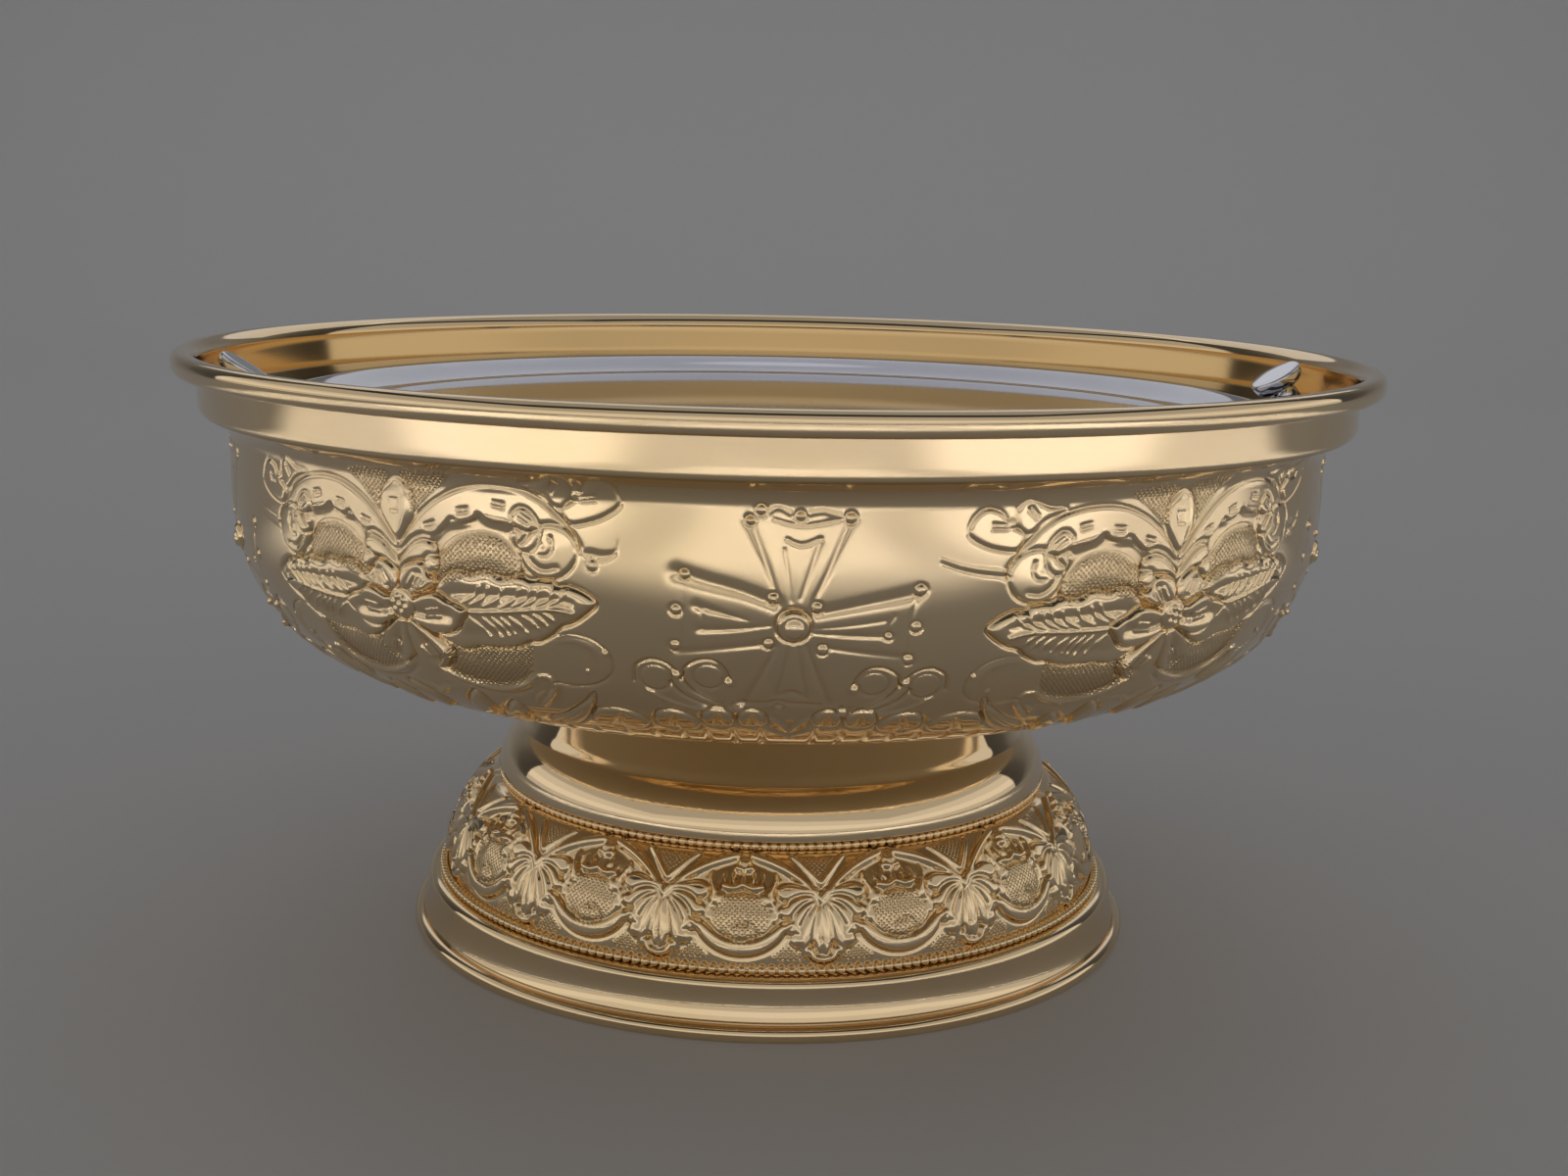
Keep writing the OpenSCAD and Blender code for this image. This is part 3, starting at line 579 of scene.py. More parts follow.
def revolve(name, rz, n, theta0=0.0, disp=None, attrs=None, sharp_deg=None, closed=True):
    """Lathe from a closed ring of (r, z) points. disp is an (rows, n, 2) shift in (r, z)."""
    p = np.asarray(rz, float)
    m = len(p)
    th = theta0 + 2 * PI * np.arange(n) / n
    R = np.repeat(p[:, 0][:, None], n, 1)
    Z = np.repeat(p[:, 1][:, None], n, 1)
    if disp is not None:
        R = R + disp[..., 0]
        Z = Z + disp[..., 1]
    co = np.stack([R * np.sin(th), -R * np.cos(th), Z], -1).reshape(-1, 3)
    i = np.arange(m)[:, None] if closed else np.arange(m - 1)[:, None]
    j = np.arange(n)[None, :]
    i2, j2 = (i + 1) % m, (j + 1) % n
    f = np.stack([i * n + j, i2 * n + j, i2 * n + j2, i * n + j2], -1).reshape(-1, 4)
    s = np.r_[0, np.cumsum(np.hypot(*np.diff(np.vstack([p, p[:1]]), axis=0).T))]
    s = s / s[-1]
    ii = np.broadcast_to(i, (i.shape[0], n))
    u0 = np.broadcast_to(j / n, ii.shape)
    u1 = np.broadcast_to((j + 1) / n, ii.shape)
    v0, v1 = s[ii], s[ii + 1]
    uv = np.stack([np.stack([u0, v0], -1), np.stack([u0, v1], -1), np.stack([u1, v1], -1), np.stack([u1, v0], -1)], 2)
    return make_mesh(name, co, f, True, sharp_deg, uv.reshape(-1, 2), attrs)


def ripple(th, s, seed, amp):
    """Slow unevenness of hand-worked sheet, in mm; th round the piece, s along it."""
    rng = np.random.RandomState(seed)
    out = np.zeros((len(s), len(th)))
    for _ in range(14):
        kx = rng.randint(3, 38)
        ks = rng.uniform(0.05, 0.28)
        ph, ph2 = rng.uniform(0, 2 * PI, 2)
        out += np.sin(kx * th[None, :] + ph) * np.sin(ks * s[:, None] + ph2) / (1 + kx / 14)
    return amp * out / 3.0


def blur_wrap(H, times):
    for _ in range(times):
        H = 0.25 * np.roll(H, 1, 1) + 0.5 * H + 0.25 * np.roll(H, -1, 1)
        up, dn = np.vstack([H[:1], H[:-1]]), np.vstack([H[1:], H[-1:]])
        H = 0.25 * up + 0.5 * H + 0.25 * dn
    return H


# ---- bowl
WALL, R_SIDE, Z_SIDE, Z_SEAT, R_SEAT, Z_LEDGE = 1.2, 109.5, 98.0, 52.5, 44.0, 105.3
CROSS_AZ = math.radians(1.6)


def bowl_curve(r, zb, n=900):
    a = np.linspace(0, PI / 2, n)
    p = np.stack([R_SEAT + (r - R_SEAT) * np.cos(a) ** (2 / 2.9), Z_SIDE - (Z_SIDE - zb) * np.sin(a) ** (2 / 3.0)], -1)
    top = np.stack([np.full(20, r), np.linspace(Z_LEDGE, Z_SIDE, 20, endpoint=False)], -1)
    return np.vstack([top, p])


def resample(curve, s_new):
    s = np.r_[0, np.cumsum(np.hypot(*np.diff(curve, axis=0).T))]
    return np.stack([np.interp(s_new, s, curve[:, 0]), np.interp(s_new, s, curve[:, 1])], -1), s[-1]


def build_bowl():
    F = bowl_field()
    rows = F.v
    outer_c = bowl_curve(R_SIDE, Z_SEAT)
    total = np.cumsum(np.hypot(*np.diff(outer_c, axis=0).T))[-1]
    rows_s = rows * total / rows[-1] if rows[-1] > total else rows
    rows_s = np.minimum(rows_s, total)
    outer, _ = resample(outer_c, rows_s)
    outer[:, 0] += 3.2 * np.clip(1 - rows_s / 4.6, 0, 1) ** 2.2
    _, nrm = profile_frame(outer)
    nrm = nrm / np.hypot(nrm[:, 0], nrm[:, 1])[:, None]
    n = 5 * F.H.shape[1]
    H = np.tile(F.H, (1, 5))
    S = np.tile(F.S, (1, 5))
    SF = np.tile(F.F, (1, 5))
    th = 2 * PI * np.arange(n) / n
    env = np.clip(rows / 2.0, 0, 1) * np.clip((72 - rows) / 16.0, 0, 1)
    H = H * env[:, None]
    H = H + ripple(th, rows, 5, 0.055) * np.clip(rows / 6.0, 0, 1)[:, None] * np.clip((95 - rows) / 20, 0, 1)[:, None]
    # recess mask: how far the relief lies below its blurred surroundings, used for painted shade in the hollows
    low = blur_wrap(H, 14)
    recess_shade = np.clip((low - H) * 3.0, 0, 1)
    recess_shade = blur_wrap(recess_shade, 1)
    # inside of the sheet follows the relief, softened
    keep = np.r_[np.arange(len(rows) - 1, len(rows) - 34, -3), np.arange(len(rows) - 36, -1, -4)]
    inner_c = bowl_curve(R_SIDE - WALL, Z_SEAT + WALL)
    ti = np.cumsum(np.hypot(*np.diff(inner_c, axis=0).T))[-1]
    inner, _ = resample(inner_c, rows_s[keep] * ti / total)
    Hin = blur_wrap(H, 4)[keep] * 0.8
    _, nin = profile_frame(inner[::-1])
    nin = nin[::-1]
    disp_o = H[..., None] * nrm[:, None, :]
    disp_i = Hin[..., None] * nin[:, None, :]
    hole = np.array([(4.25, Z_SEAT), (4.25, Z_SEAT + WALL)])
    rz = np.vstack([outer, [(24.0, Z_SEAT)], hole, [(24.0, Z_SEAT + WALL)], inner])
    z2 = np.zeros((1, n, 2))
    disp = np.concatenate([disp_o, z2, z2, z2, z2, disp_i], 0)
    zc = np.zeros((4, n))
    A = np.vstack([recess_shade, zc, np.zeros((len(keep), n))])
    Sm = np.vstack([S * env[:, None], zc, np.zeros((len(keep), n))])
    Fm = np.vstack([SF * env[:, None], zc, np.zeros((len(keep), n))])
    gx, gy = np.meshgrid(np.arange(n) * 2 * PI * R_BOWL / n, np.r_[rows, np.zeros(4 + len(keep))])
    gu, gv = 0.7071 * (gx + gy), 0.7071 * (gy - gx)
    return revolve("bowl_body", rz, n, CROSS_AZ - HALF / R_BOWL, disp, {"recess_shade": A, "mat": Sm, "satin": Fm, "gu": gu, "gv": gv})


def build_foot():
    F = foot_field()
    rows = F.v
    p0, c, p2 = np.array([58.6, 28.4]), np.array([67.7, 23.4]), np.array([68.4, 8.9])
    t = np.linspace(0, 1, 400)[:, None]
    outer_c = (1 - t) ** 2 * p0 + 2 * t * (1 - t) * c + t * t * p2
    total = np.hypot(*np.diff(outer_c, axis=0).T).sum()
    outer, _ = resample(outer_c, rows * total / rows[-1])
    s, nrm = profile_frame(outer)
    reps = 14
    n = reps * F.H.shape[1]
    H = np.tile(F.H, (1, reps))
    S = np.tile(F.S, (1, reps))
    th = 2 * PI * np.arange(n) / n
    env = np.clip(rows / 0.5, 0, 1) * np.clip((23.3 - rows) / 0.3, 0, 1)
    H = H * env[:, None]
    H = H + ripple(th, rows, 9, 0.03) * env[:, None]
    # recess mask: how far the relief lies below its blurred surroundings, used for painted shade in the hollows
    low = blur_wrap(H, 10)
    recess_shade = blur_wrap(np.clip((low - H) * 2.0, 0, 1), 1)
    q0, qc, q2 = np.array([57.5, 27.2]), np.array([66.4, 22.5]), np.array([67.2, 8.9])
    tt = np.linspace(1, 0, 16)[:, None]
    inner = (1 - tt) ** 2 * q0 + 2 * tt * (1 - tt) * qc + tt * tt * q2
    rz = np.vstack([outer, inner, [(54.1, 27.2), (54.1, 28.4)]])
    extra = len(rz) - len(outer)
    disp = np.concatenate([H[..., None] * nrm[:, None, :], np.zeros((extra, n, 2))], 0)
    pad = np.zeros((extra, n))
    SF = np.tile(F.F, (1, reps))
    gx, gy = np.meshgrid(np.arange(n) * 2 * PI * R_FOOT / n, np.r_[rows, np.zeros(extra)])
    return revolve("foot_body", rz, n, math.radians(-4.25) - PI / 14, disp,
                   {"recess_shade": np.vstack([recess_shade, pad]), "mat": np.vstack([S, pad]), "satin": np.vstack([SF, pad]),
                    "gu": 0.7071 * (gx + gy), "gv": 0.7071 * (gy - gx)}, sharp_deg=70)


def bead_ring(name, r, z, a, count, per=12, around=18):
    """Wire drawn into a row of round beads."""
    n = count * per
    th = 2 * PI * np.arange(n) / n
    pitch = 2 * PI * r / count
    s = (np.arange(n) % per - per / 2 + 0.5) / per * pitch
    rad = np.sqrt(np.clip(a * a - (s * 0.98) ** 2, 0.0, None))
    rad = np.maximum(rad, 0.34 * a)
    ph = 2 * PI * np.arange(around) / around
    rr = r + rad[None, :] * np.cos(ph)[:, None]
    zz = z + rad[None, :] * np.sin(ph)[:, None]
    base = np.zeros((around, 2))
    disp = np.stack([rr, zz], -1)
    rz = np.stack([r + a * np.cos(ph), z + a * np.sin(ph)], -1)
    disp = disp - rz[:, None, :]
    return revolve(name, rz[::-1], n, 0.0, disp[::-1])


def arc(c, rx, ry, a0, a1, n):
    a = np.radians(np.linspace(a0, a1, n))
    return [(c[0] + rx * math.cos(t), c[1] + ry * math.sin(t)) for t in a]


def bez(p, c, q, n):
    t = np.linspace(0, 1, n)
    return [((1 - k) ** 2 * p[0] + 2 * k * (1 - k) * c[0] + k * k * q[0],
             (1 - k) ** 2 * p[1] + 2 * k * (1 - k) * c[1] + k * k * q[1]) for k in t]


def line(p, q, n):
    return [(p[0] + (q[0] - p[0]) * k / (n - 1), p[1] + (q[1] - p[1]) * k / (n - 1)) for k in range(n)]


def flat_roll(c, r, n, a0, a1, count):
    # a roll whose face is pressed flat: a superellipse of exponent n
    out = []
    for t in np.radians(np.linspace(a0, a1, count)):
        u, v = math.cos(t), math.sin(t)
        out.append((c[0] + r * math.copysign(abs(u) ** (2 / n), u),
                    c[1] + r * math.copysign(abs(v) ** (2 / n), v)))
    return out


def build_collar():
    lip = (117.8, 115.0)
    pts = (line((108.3, 105.3), (108.3, 106.5), 3) + line((108.5, 106.5), (113.2, 106.5), 5)
           + arc((113.2, 107.5), 1.0, 1.0, -90, 0, 7) + line((114.2, 108.0), (114.95, 113.8), 6)
           + arc((117.8, 114.4), 2.85, 2.8, 180, 92, 22) + flat_roll(lip, 2.2, 2.7, 90, -92, 48)
           + bez((117.3, 112.85), (116.1, 112.9), (115.42, 113.9), 8)
           + line((115.4, 113.6), (115.32, 107.3), 10) + arc((113.9, 107.0), 1.4, 1.7, 0, -90, 14)
           + line((113.0, 105.3), (109.0, 105.3), 5))
    return revolve("collar", pts[::-1], 720, sharp_deg=50)


def stem_r(z):
    dome = 47.5 + 10.0 * np.sqrt(np.clip(1 - ((z - 30.25) / 10.5) ** 2, 0, 1))
    up = np.clip((z - 41.0) / 11.5, 0, 1)
    cone = 45.6 + (52.5 - z) * math.tan(math.radians(28)) - 1.0 * up * (1 - up)
    return 0.5 * (dome + cone + np.sqrt((dome - cone) ** 2 + 0.06 * np.clip((z - 33) / 4, 0, 1))) - 0.02


def build_stem():
    zs = np.r_[np.linspace(30.25, 36.2, 44), np.linspace(36.4, 40.6, 44), np.linspace(41.0, 51.9, 28)]
    out = [(55.9, 28.4), (55.9, 30.08), (56.1, 30.1), (57.2, 30.1), (57.38, 30.13)] + [(float(stem_r(z)), float(z)) for z in zs] + [(45.75, 52.3), (45.4, 52.5)]
    inn = line((4.25, 52.5), (4.25, 51.1), 2) + [(20, 51.1), (44.2, 51.1)]
    inn += [(float(stem_r(z)) - 1.4, float(z)) for z in zs[6:-5][::-2]] + [(54.6, 30.75), (54.5, 30.5), (54.5, 28.4)]
    return revolve("stem_body", (out + [(20.0, 52.5)] + inn), 480, sharp_deg=50)


def build_base():
    lc = (73.8, -0.7)
    pts = ([(67.0, 8.9), (70.2, 8.9)] + arc((70.6, 7.2), 1.7, 1.7, 90, 0, 22) + bez((72.31, 7.1), (72.5, 3.9), (73.42, 1.62), 24)
           + bez((73.45, 1.54), (73.48, 1.40), (73.30, 1.30), 4) + bez((73.05, 1.18), (72.92, 1.02), (73.02, 0.84), 5) + arc(lc, 1.5, 1.5, 112, -60, 30)
           + [(74.55, -2.0), (73.05, -2.0)] + bez((72.85, -1.9), (72.2, -1.5), (72.1, -0.6), 5)
           + bez((72.0, -0.4), (71.4, 2.5), (71.1, 6.4), 8) + bez((71.0, 6.8), (70.4, 7.5), (69.6, 7.7), 5) + [(67.0, 7.7)])
    return revolve("base_body", pts, 560, sharp_deg=40)


def close_centre(obj, r):
    # the turned profile ends in a small ring: its wall is taken out and both faces of the plate are filled
    bm = bmesh.new()
    bm.from_mesh(obj.data)
    wall = [f for f in bm.faces if all(math.hypot(v.co.x, v.co.y) < r for v in f.verts)]
    bmesh.ops.delete(bm, geom=wall, context="FACES")
    fill = bmesh.ops.edgeloop_fill(bm, edges=[e for e in bm.edges if e.is_boundary])
    for f in fill["faces"]:
        f.smooth = True
    bmesh.ops.recalc_face_normals(bm, faces=bm.faces[:])
    bm.to_mesh(obj.data)
    bm.free()
    return obj


def build_tray():
    zt, zb, rt = 107.8, 106.6, 113.6
    w = np.linspace(0, 1, 40)
    wall = [(103 - 12 * k, zt - 3.4 * (0.5 - 0.5 * math.cos(PI * k))) for k in w]
    floor = line((89.5, 104.4), (0.9, 104.4), 40)
    under = [(0.9, 103.2), (60.0, 103.2)] + [(r - 0.4, z - 1.2) for r, z in wall[::-1]]
    rim = line((104, zb), (113.0, zb), 5) + arc((113.0, 107.2), 0.6, 0.6, -90, 90, 12) + line((112.4, zt), (103.6, zt), 8)
    pts = wall + floor + under + rim
    return close_centre(revolve("paten_plate", pts[::-1], 640, sharp_deg=50), 0.00095)


def build_knob(name, az):
    """Turned knob; its neck bends inwards and ends in a flat round head."""
    lean = math.radians(32)
    ns = 64
    foot = np.array([109.8, 107.8])
    axis = np.array([-math.sin(lean), math.cos(lean)])
    rows = [(0.0, 0.0, 1.5, -1.2), (0.0, 0.0, 1.5, 0.0), (0.0, 0.0, 3.5, 0.0)]
    prof = ([(0.0, 3.5), (0.35, 3.15), (0.8, 2.8), (1.4, 2.55), (2.0, 2.45), (2.5, 2.5), (2.75, 2.8), (2.85, 3.2)]
            + [(2.7 + 2.5 * (1 - math.cos(k)), 3.3 + 2.2 * math.sin(k)) for k in np.linspace(0.12, PI / 2, 10)]
            + [(6.1 - 0.6 + 0.6 * math.sin(k), 5.5 - 0.6 + 0.6 * math.cos(k)) for k in np.linspace(0.1, PI / 2, 7)]
            + [(6.1, 3.0), (6.1, 1.5), (6.1, 0.2)])
    rings = []
    ph = 2 * PI * np.arange(ns) / ns

    def ring(center, tilt, r):
        ux, uz = math.cos(tilt), math.sin(tilt)
        x = center[0] + r * np.cos(ph) * ux
        z = center[1] + r * np.cos(ph) * uz
        y = r * np.sin(ph)
        return np.stack([x, y, z], -1)

    rings.append(ring(foot + (0, -1.2), 0, 0.2))
    rings.append(ring(foot + (0, -1.2), 0, 1.5))
    rings.append(ring(foot, 0, 1.5))
    for s, r in prof:
        k = min(max(s / 2.4, 0), 1)
        k = k * k * (3 - 2 * k)
        tilt = lean * k
        c = foot + axis * s * k + np.array([0.0, 1.0]) * s * (1 - k)
        rings.append(ring(c, tilt, r))
    co = np.concatenate(rings)
    m = len(rings)
    ca, sa = math.sin(az), -math.cos(az)
    X = co[:, 0] * math.cos(az) - co[:, 1] * math.sin(az)
    Y = co[:, 0] * math.sin(az) + co[:, 1] * math.cos(az)
    co = np.stack([X, Y, co[:, 2]], -1)
    co = np.vstack([co, co[:ns].mean(0), co[-ns:].mean(0)])
    f = []
    for a in range(m - 1):
        for b in range(ns):
            f.append((a * ns + b, a * ns + (b + 1) % ns, (a + 1) * ns + (b + 1) % ns, (a + 1) * ns + b))
    me = bpy.data.meshes.new(name)
    tri = [(m * ns, (b + 1) % ns, b) for b in range(ns)] + [(m * ns + 1, (m - 1) * ns + b, (m - 1) * ns + (b + 1) % ns) for b in range(ns)]
    me.from_pydata(((co + (0, 0, LIFT)) * MM).tolist(), [], f + tri)
    me.polygons.foreach_set("use_smooth", np.ones(len(me.polygons), bool))
    me.set_sharp_from_angle(angle=math.radians(45))
    ob = bpy.data.objects.new(name, me)
    bpy.context.collection.objects.link(ob)
    return ob


# ---------------------------------------------------------------- materials
def new_mat(name):
    m = bpy.data.materials.new(name)
    m.use_nodes = True
    nt = m.node_tree
    b = nt.nodes["Principled BSDF"]
    return m, nt, b


def node(nt, kind, **kw):
    n = nt.nodes.new(kind)
    for k, v in kw.items():
        if k == "inputs":
            for key, val in v.items():
                n.inputs[key].default_value = val
        else:
            setattr(n, k, v)
    return n


def ramp(nt, fac, stops):
    r = nt.nodes.new("ShaderNodeValToRGB")
    el = r.color_ramp.elements
    while len(el) < len(stops):
        el.new(0.5)
    for e, (p, c) in zip(el, stops):
        e.position = p
        e.color = c if len(c) == 4 else (*c, 1)
    nt.links.new(fac, r.inputs["Fac"])
    return r.outputs["Color"]


def mixc(nt, fac, a, b, mode="MIX"):
    m = nt.nodes.new("ShaderNodeMix")
    m.data_type = "RGBA"
    m.blend_type = mode
    for sock, val in ((m.inputs[0], fac), (m.inputs[6], a), (m.inputs[7], b)):
        if hasattr(val, "links"):
            nt.links.new(val, sock)
        else:
            sock.default_value = val if not isinstance(val, tuple) else (*val, 1)[:4]
    return m.outputs[2]


def math_(nt, op, a, b=None, c=None, clamp=False):
    m = nt.nodes.new("ShaderNodeMath")
    m.operation = op
    m.use_clamp = clamp
    for k, val in enumerate((a, b, c)):
        if val is None:
            continue
        if hasattr(val, "links"):
            nt.links.new(val, m.inputs[k])
        else:
            m.inputs[k].default_value = val
    return m.outputs[0]


GOLD = (0.88, 0.69, 0.45)
# GOLD_DEEP: the colour that recesses, matted patches, pit bottoms and the wall inside the rim are darkened toward; in
# the recesses, pits and inner wall this is painted shade
GOLD_DEEP = (0.60, 0.40, 0.17)


def gold_material(name, relief):
    m, nt, b = new_mat(name)
    b.inputs["Metallic"].default_value = 1.0
    tc = node(nt, "ShaderNodeTexCoord")
    obj = tc.outputs["Object"]
    cloud = node(nt, "ShaderNodeTexNoise", inputs={"Scale": 22.0, "Detail": 4.0, "Roughness": 0.6})
    nt.links.new(obj, cloud.inputs["Vector"])
    fine = node(nt, "ShaderNodeTexNoise", inputs={"Scale": 900.0, "Detail": 3.0, "Roughness": 0.7})
    nt.links.new(obj, fine.inputs["Vector"])
    tone = ramp(nt, cloud.outputs["Fac"], [(0.30, (0.86, 0.665, 0.395)), (0.55, GOLD), (0.75, (0.905, 0.725, 0.455))])
    lo, hi = (0.045, 0.080) if relief else (0.036, 0.066)
    rough = ramp(nt, cloud.outputs["Fac"], [(0.3, (lo,) * 3), (0.7, (hi,) * 3)])
    rough_v = math_(nt, "MULTIPLY_ADD", fine.outputs["Fac"], 0.03, math_(nt, "SUBTRACT", rough, 0.012))
    # small pin-head spots in the plating
    spots = node(nt, "ShaderNodeTexVoronoi", inputs={"Scale": 95.0, "Randomness": 1.0})
    nt.links.new(obj, spots.inputs["Vector"])
    spot = ramp(nt, spots.outputs["Distance"], [(0.0, (1, 1, 1)), (0.045, (0, 0, 0))])
    rare = ramp(nt, cloud.outputs["Fac"], [(0.60, (0, 0, 0)), (0.64, (1, 1, 1))])
    spot = math_(nt, "MULTIPLY", spot, rare)
    tone = mixc(nt, math_(nt, "MULTIPLY", spot, 0.7), tone, (0.30, 0.19, 0.09))
    rough_v = math_(nt, "MULTIPLY_ADD", spot, 0.25, rough_v)
    height = None
    if relief:
        recess_shade = node(nt, "ShaderNodeAttribute", attribute_name="recess_shade").outputs["Fac"]
        mat = node(nt, "ShaderNodeAttribute", attribute_name="mat").outputs["Fac"]
        # the recess mask darkens the hollows of the relief toward GOLD_DEEP: painted shade; it also raises their
        # roughness
        tone = mixc(nt, math_(nt, "MULTIPLY", recess_shade, 0.75, clamp=True), tone, GOLD_DEEP)
        tone = mixc(nt, math_(nt, "MULTIPLY", mat, 0.22), tone, GOLD_DEEP)
        rough_v = math_(nt, "MULTIPLY_ADD", recess_shade, 0.16, rough_v)
        rough_v = math_(nt, "MULTIPLY_ADD", mat, 0.10, rough_v)
        satin = node(nt, "ShaderNodeAttribute", attribute_name="satin").outputs["Fac"]
        rough_v = math_(nt, "MULTIPLY_ADD", satin, 0.015, rough_v)
        grid = node(nt, "ShaderNodeCombineXYZ")
        nt.links.new(node(nt, "ShaderNodeAttribute", attribute_name="gu").outputs["Fac"], grid.inputs[0])
        nt.links.new(node(nt, "ShaderNodeAttribute", attribute_name="gv").outputs["Fac"], grid.inputs[1])
        dots = node(nt, "ShaderNodeTexVoronoi", voronoi_dimensions="2D", inputs={"Scale": 1.45, "Randomness": 0.22})
        nt.links.new(grid.outputs[0], dots.inputs["Vector"])
        pit = ramp(nt, dots.outputs["Distance"], [(0.12, (0, 0, 0)), (0.42, (1, 1, 1))])
        height = math_(nt, "MULTIPLY", pit, mat)
        # the bottoms of the matting pits are darkened toward GOLD_DEEP: painted shade in the pits
        tone = mixc(nt, math_(nt, "MULTIPLY", math_(nt, "SUBTRACT", mat, height), 0.75, clamp=True), tone, GOLD_DEEP)
        bump = node(nt, "ShaderNodeBump", inputs={"Strength": 1.0, "Distance": 0.00012})
        nt.links.new(height, bump.inputs["Height"])
        bump2 = node(nt, "ShaderNodeBump", inputs={"Strength": 0.12, "Distance": 0.00004})
        nt.links.new(fine.outputs["Fac"], bump2.inputs["Height"])
        nt.links.new(bump.outputs["Normal"], bump2.inputs["Normal"])
        nt.links.new(bump2.outputs["Normal"], b.inputs["Normal"])
    else:
        # the wall inside the rim is polished less, and its colour is darkened toward GOLD_DEEP: painted shade on the
        # inner wall
        sep = node(nt, "ShaderNodeSeparateXYZ")
        nt.links.new(obj, sep.inputs[0])
        rr = math_(nt, "SQRT", math_(nt, "ADD", math_(nt, "MULTIPLY", sep.outputs[0], sep.outputs[0]),
                                    math_(nt, "MULTIPLY", sep.outputs[1], sep.outputs[1])))
        inside = math_(nt, "MULTIPLY", math_(nt, "MULTIPLY_ADD", rr, -4000.0, 460.5, clamp=True),
                       math_(nt, "GREATER_THAN", sep.outputs[2], 0.1075))
        tone = mixc(nt, math_(nt, "MULTIPLY", inside, 0.85), tone, GOLD_DEEP)
        rough_v = math_(nt, "MULTIPLY_ADD", inside, 0.06, rough_v)
        bump2 = node(nt, "ShaderNodeBump", inputs={"Strength": 0.08, "Distance": 0.00003})
        nt.links.new(fine.outputs["Fac"], bump2.inputs["Height"])
        nt.links.new(bump2.outputs["Normal"], b.inputs["Normal"])
    nt.links.new(tone, b.inputs["Base Color"])
    nt.links.new(rough_v, b.inputs["Roughness"])
    return m


def silver_material(name, rings):
    m, nt, b = new_mat(name)
    b.inputs["Metallic"].default_value = 1.0
    tc = node(nt, "ShaderNodeTexCoord")
    obj = tc.outputs["Object"]
    cloud = node(nt, "ShaderNodeTexNoise", inputs={"Scale": 18.0, "Detail": 5.0, "Roughness": 0.6})
    nt.links.new(obj, cloud.inputs["Vector"])
    # the spun plate gets a darker tone than the turned knobs of the same silver: painted shade on the plate, which sits
    # low inside the rim
    dark, light = ((0.46, 0.46, 0.51), (0.53, 0.53, 0.59)) if rings else ((0.70, 0.71, 0.76), (0.80, 0.81, 0.86))
    tone = ramp(nt, cloud.outputs["Fac"], [(0.3, dark), (0.7, light)])
    rough = ramp(nt, cloud.outputs["Fac"], [(0.3, (0.030,) * 3), (0.72, (0.060,) * 3)])
    nt.links.new(tone, b.inputs["Base Color"])
    fine = node(nt, "ShaderNodeTexNoise", inputs={"Scale": 700.0, "Detail": 2.0})
    if rings:
        sep = node(nt, "ShaderNodeSeparateXYZ")
        nt.links.new(obj, sep.inputs[0])
        rr = math_(nt, "SQRT", math_(nt, "ADD", math_(nt, "MULTIPLY", sep.outputs[0], sep.outputs[0]),
                                    math_(nt, "MULTIPLY", sep.outputs[1], sep.outputs[1])))
        comb = node(nt, "ShaderNodeCombineXYZ")
        nt.links.new(math_(nt, "MULTIPLY", rr, 1.0), comb.inputs[0])
        fine.inputs["Scale"].default_value = 2600.0
        nt.links.new(comb.outputs[0], fine.inputs["Vector"])
    else:
        nt.links.new(obj, fine.inputs["Vector"])
    nt.links.new(math_(nt, "MULTIPLY_ADD", fine.outputs["Fac"], 0.02, rough), b.inputs["Roughness"])
    bump = node(nt, "ShaderNodeBump", inputs={"Strength": 0.10, "Distance": 0.00003})
    nt.links.new(fine.outputs["Fac"], bump.inputs["Height"])
    nt.links.new(bump.outputs["Normal"], b.inputs["Normal"])
    return m


def steel_material(name):
    m, nt, b = new_mat(name)
    b.inputs["Metallic"].default_value = 1.0
    tc = node(nt, "ShaderNodeTexCoord")
    n1 = node(nt, "ShaderNodeTexNoise", inputs={"Scale": 260.0, "Detail": 5.0, "Roughness": 0.65})
    nt.links.new(tc.outputs["Object"], n1.inputs["Vector"])
    nt.links.new(ramp(nt, n1.outputs["Fac"], [(0.3, (0.42, 0.42, 0.44)), (0.7, (0.62, 0.62, 0.64))]), b.inputs["Base Color"])
    nt.links.new(ramp(nt, n1.outputs["Fac"], [(0.3, (0.26,) * 3), (0.7, (0.42,) * 3)]), b.inputs["Roughness"])
    bump = node(nt, "ShaderNodeBump", inputs={"Strength": 0.15, "Distance": 0.0001})
    nt.links.new(n1.outputs["Fac"], bump.inputs["Height"])
    nt.links.new(bump.outputs["Normal"], b.inputs["Normal"])
    return m


gold_plain = gold_material("gold_polished", False)
gold_relief = gold_material("gold_chased", True)
silver_plate = silver_material("silver_spun", True)
silver_knob = silver_material("silver_turned", False)
steel = steel_material("bright_steel")


def dress(ob, material, body, slot, *nodes):
    ob.data.materials.clear()
    ob.data.materials.append(material)
    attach(ob, body)
    if nodes:
        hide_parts(*nodes)


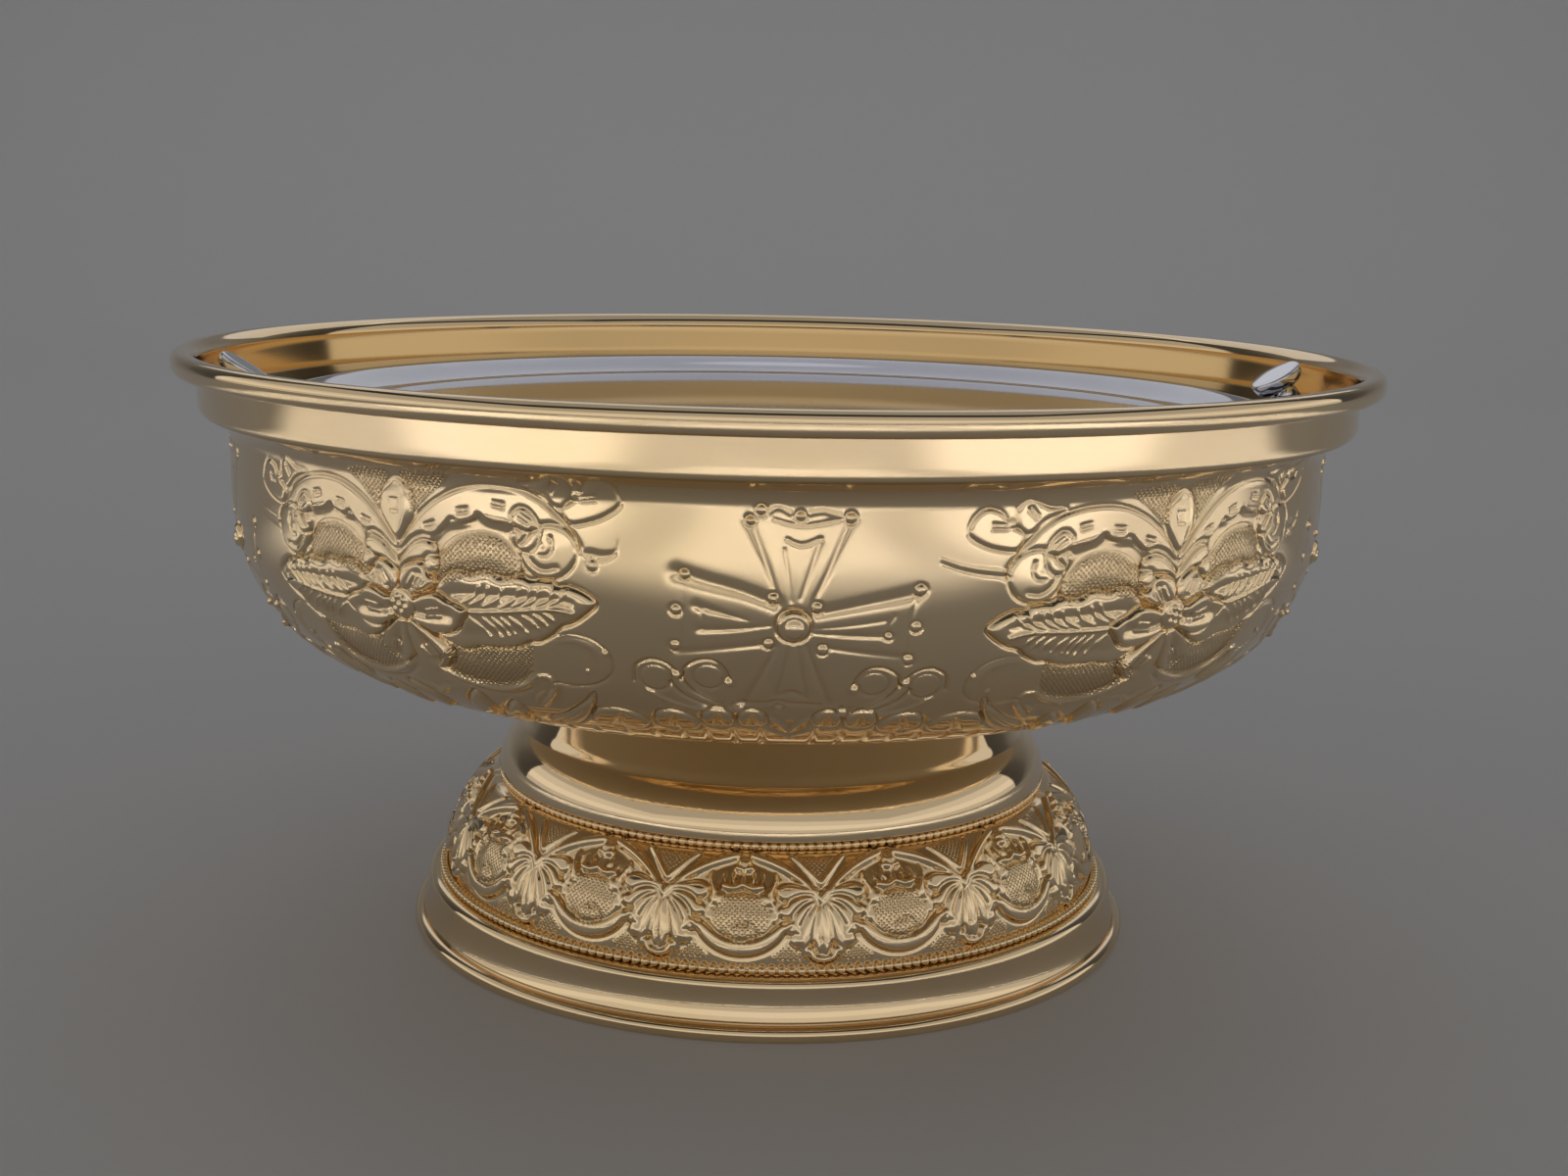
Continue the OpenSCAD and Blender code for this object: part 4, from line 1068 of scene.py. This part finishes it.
dress(build_bowl(), gold_relief, "bowl", "gold_plate", "bowl_shell")
dress(build_foot(), gold_relief, "bowl", "gold_plate", "foot_dome")
dress(build_collar(), gold_plain, "bowl", "gold_plate", "rim_collar")
dress(build_stem(), gold_plain, "bowl", "gold_plate", "stem")
dress(build_base(), gold_plain, "bowl", "gold_plate", "base_ring")
dress(bead_ring("upper_beads", 56.75, 29.22, 0.80, 206), gold_plain, "bowl", "gold_plate", "upper_bead_ring")
dress(bead_ring("lower_beads", 69.25, 9.72, 0.80, 238), gold_plain, "bowl", "gold_plate", "lower_bead_ring")
dress(build_tray(), silver_plate, "paten", "silver_plate", "tray")
dress(build_knob("knob_right", math.radians(8)), silver_knob, "paten", "silver_plate", "right_knob")
dress(build_knob("knob_left", math.radians(188)), silver_knob, "paten", "silver_plate", "left_knob")
for nm in ("bowl_washer", "center_bolt", "stem_washer", "hex_nut"):
    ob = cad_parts[nm]
    ob.data.materials.clear()
    ob.data.materials.append(steel)


# ---------------------------------------------------------------- floor, light
def floor_and_wall():
    n = 48
    prof = [(-3.0, 0.0), (1.2, 0.0)]
    R = 0.9
    prof += [(1.2 + R * math.sin(a), R - R * math.cos(a)) for a in np.linspace(0.06, PI / 2, 24)] + [(2.1, 3.2)]
    co, f = [], []
    for y, z in prof:
        co += [(-4.0, y, z), (4.0, y, z)]
    for k in range(len(prof) - 1):
        f.append((2 * k, 2 * k + 1, 2 * k + 3, 2 * k + 2))
    me = bpy.data.meshes.new("floor")
    me.from_pydata(co, [], f)
    me.polygons.foreach_set("use_smooth", np.ones(len(me.polygons), bool))
    ob = bpy.data.objects.new("floor", me)
    bpy.context.collection.objects.link(ob)
    m, nt, b = new_mat("pale_floor")
    b.inputs["Roughness"].default_value = 0.75
    b.inputs["Base Color"].default_value = (0.52, 0.52, 0.53, 1)
    ob.data.materials.append(m)


floor_and_wall()


def area(name, loc, target, sx, sy, watts, color=(1, 1, 1)):
    d = bpy.data.lights.new(name, "AREA")
    d.shape = "RECTANGLE"
    d.size, d.size_y = sx, sy
    d.energy = watts
    d.color = color
    o = bpy.data.objects.new(name, d)
    o.location = loc
    o.rotation_euler = (Vector(target) - Vector(loc)).to_track_quat("-Z", "Y").to_euler()
    o.visible_camera = False
    bpy.context.collection.objects.link(o)
    return o


WARM = (1.0, 0.96, 0.90)
for nm, x, y, sx, sy, watts, deg in (("over_front", 0.0, -0.95, 2.0, 1.2, 8.0, 16), ("over_left", -0.72, -0.35, 0.7, 1.0, 2.5, 16),
                                     ("over_right", 0.72, -0.35, 0.7, 1.0, 2.9, 16), ("over_mid", 0.02, -0.62, 0.36, 0.30, 0.28, 12)):
    o = area(nm, (x, y, 0.8), (x, y, 0.0), sx, sy, watts, WARM)
    o.data.spread = math.radians(deg)
for nm, x, y, long, gain in (("front", 0.0, -2.0, 4.4, 1.0), ("left", -2.2, -0.4, 3.2, 1.0), ("right", 2.2, -0.4, 3.2, 1.0)):
    tx, ty = (0.0, 0.0) if x == 0 else (0.0, y)
    for tag, z, h, lum in (("low", 0.12, 0.20, 0.50), ("bright", 0.36, 0.28, 0.74), ("mid", 0.675, 0.35, 0.60), ("high", 1.525, 1.35, 0.38)):
        area(nm + "_" + tag, (x, y, z), (tx, ty, z), long, h, gain * lum * PI * long * h, WARM)
area("overhead", (0.0, 0.5, 2.0), (0.0, 0.5, 0.0), 2.6, 2.2, 4.8, (0.97, 0.98, 1.0))
area("back_high", (0.0, 1.55, 1.25), (0.0, 0.0, 0.1), 2.4, 1.2, 4.1, (0.95, 0.96, 1.0))
world = bpy.data.worlds.new("studio")
world.use_nodes = True
bg = world.node_tree.nodes["Background"]
bg.inputs["Color"].default_value = (0.60, 0.62, 0.66, 1)
bg.inputs["Strength"].default_value = 0.06
bpy.context.scene.world = world
bpy.context.scene.view_settings.view_transform = "Standard"
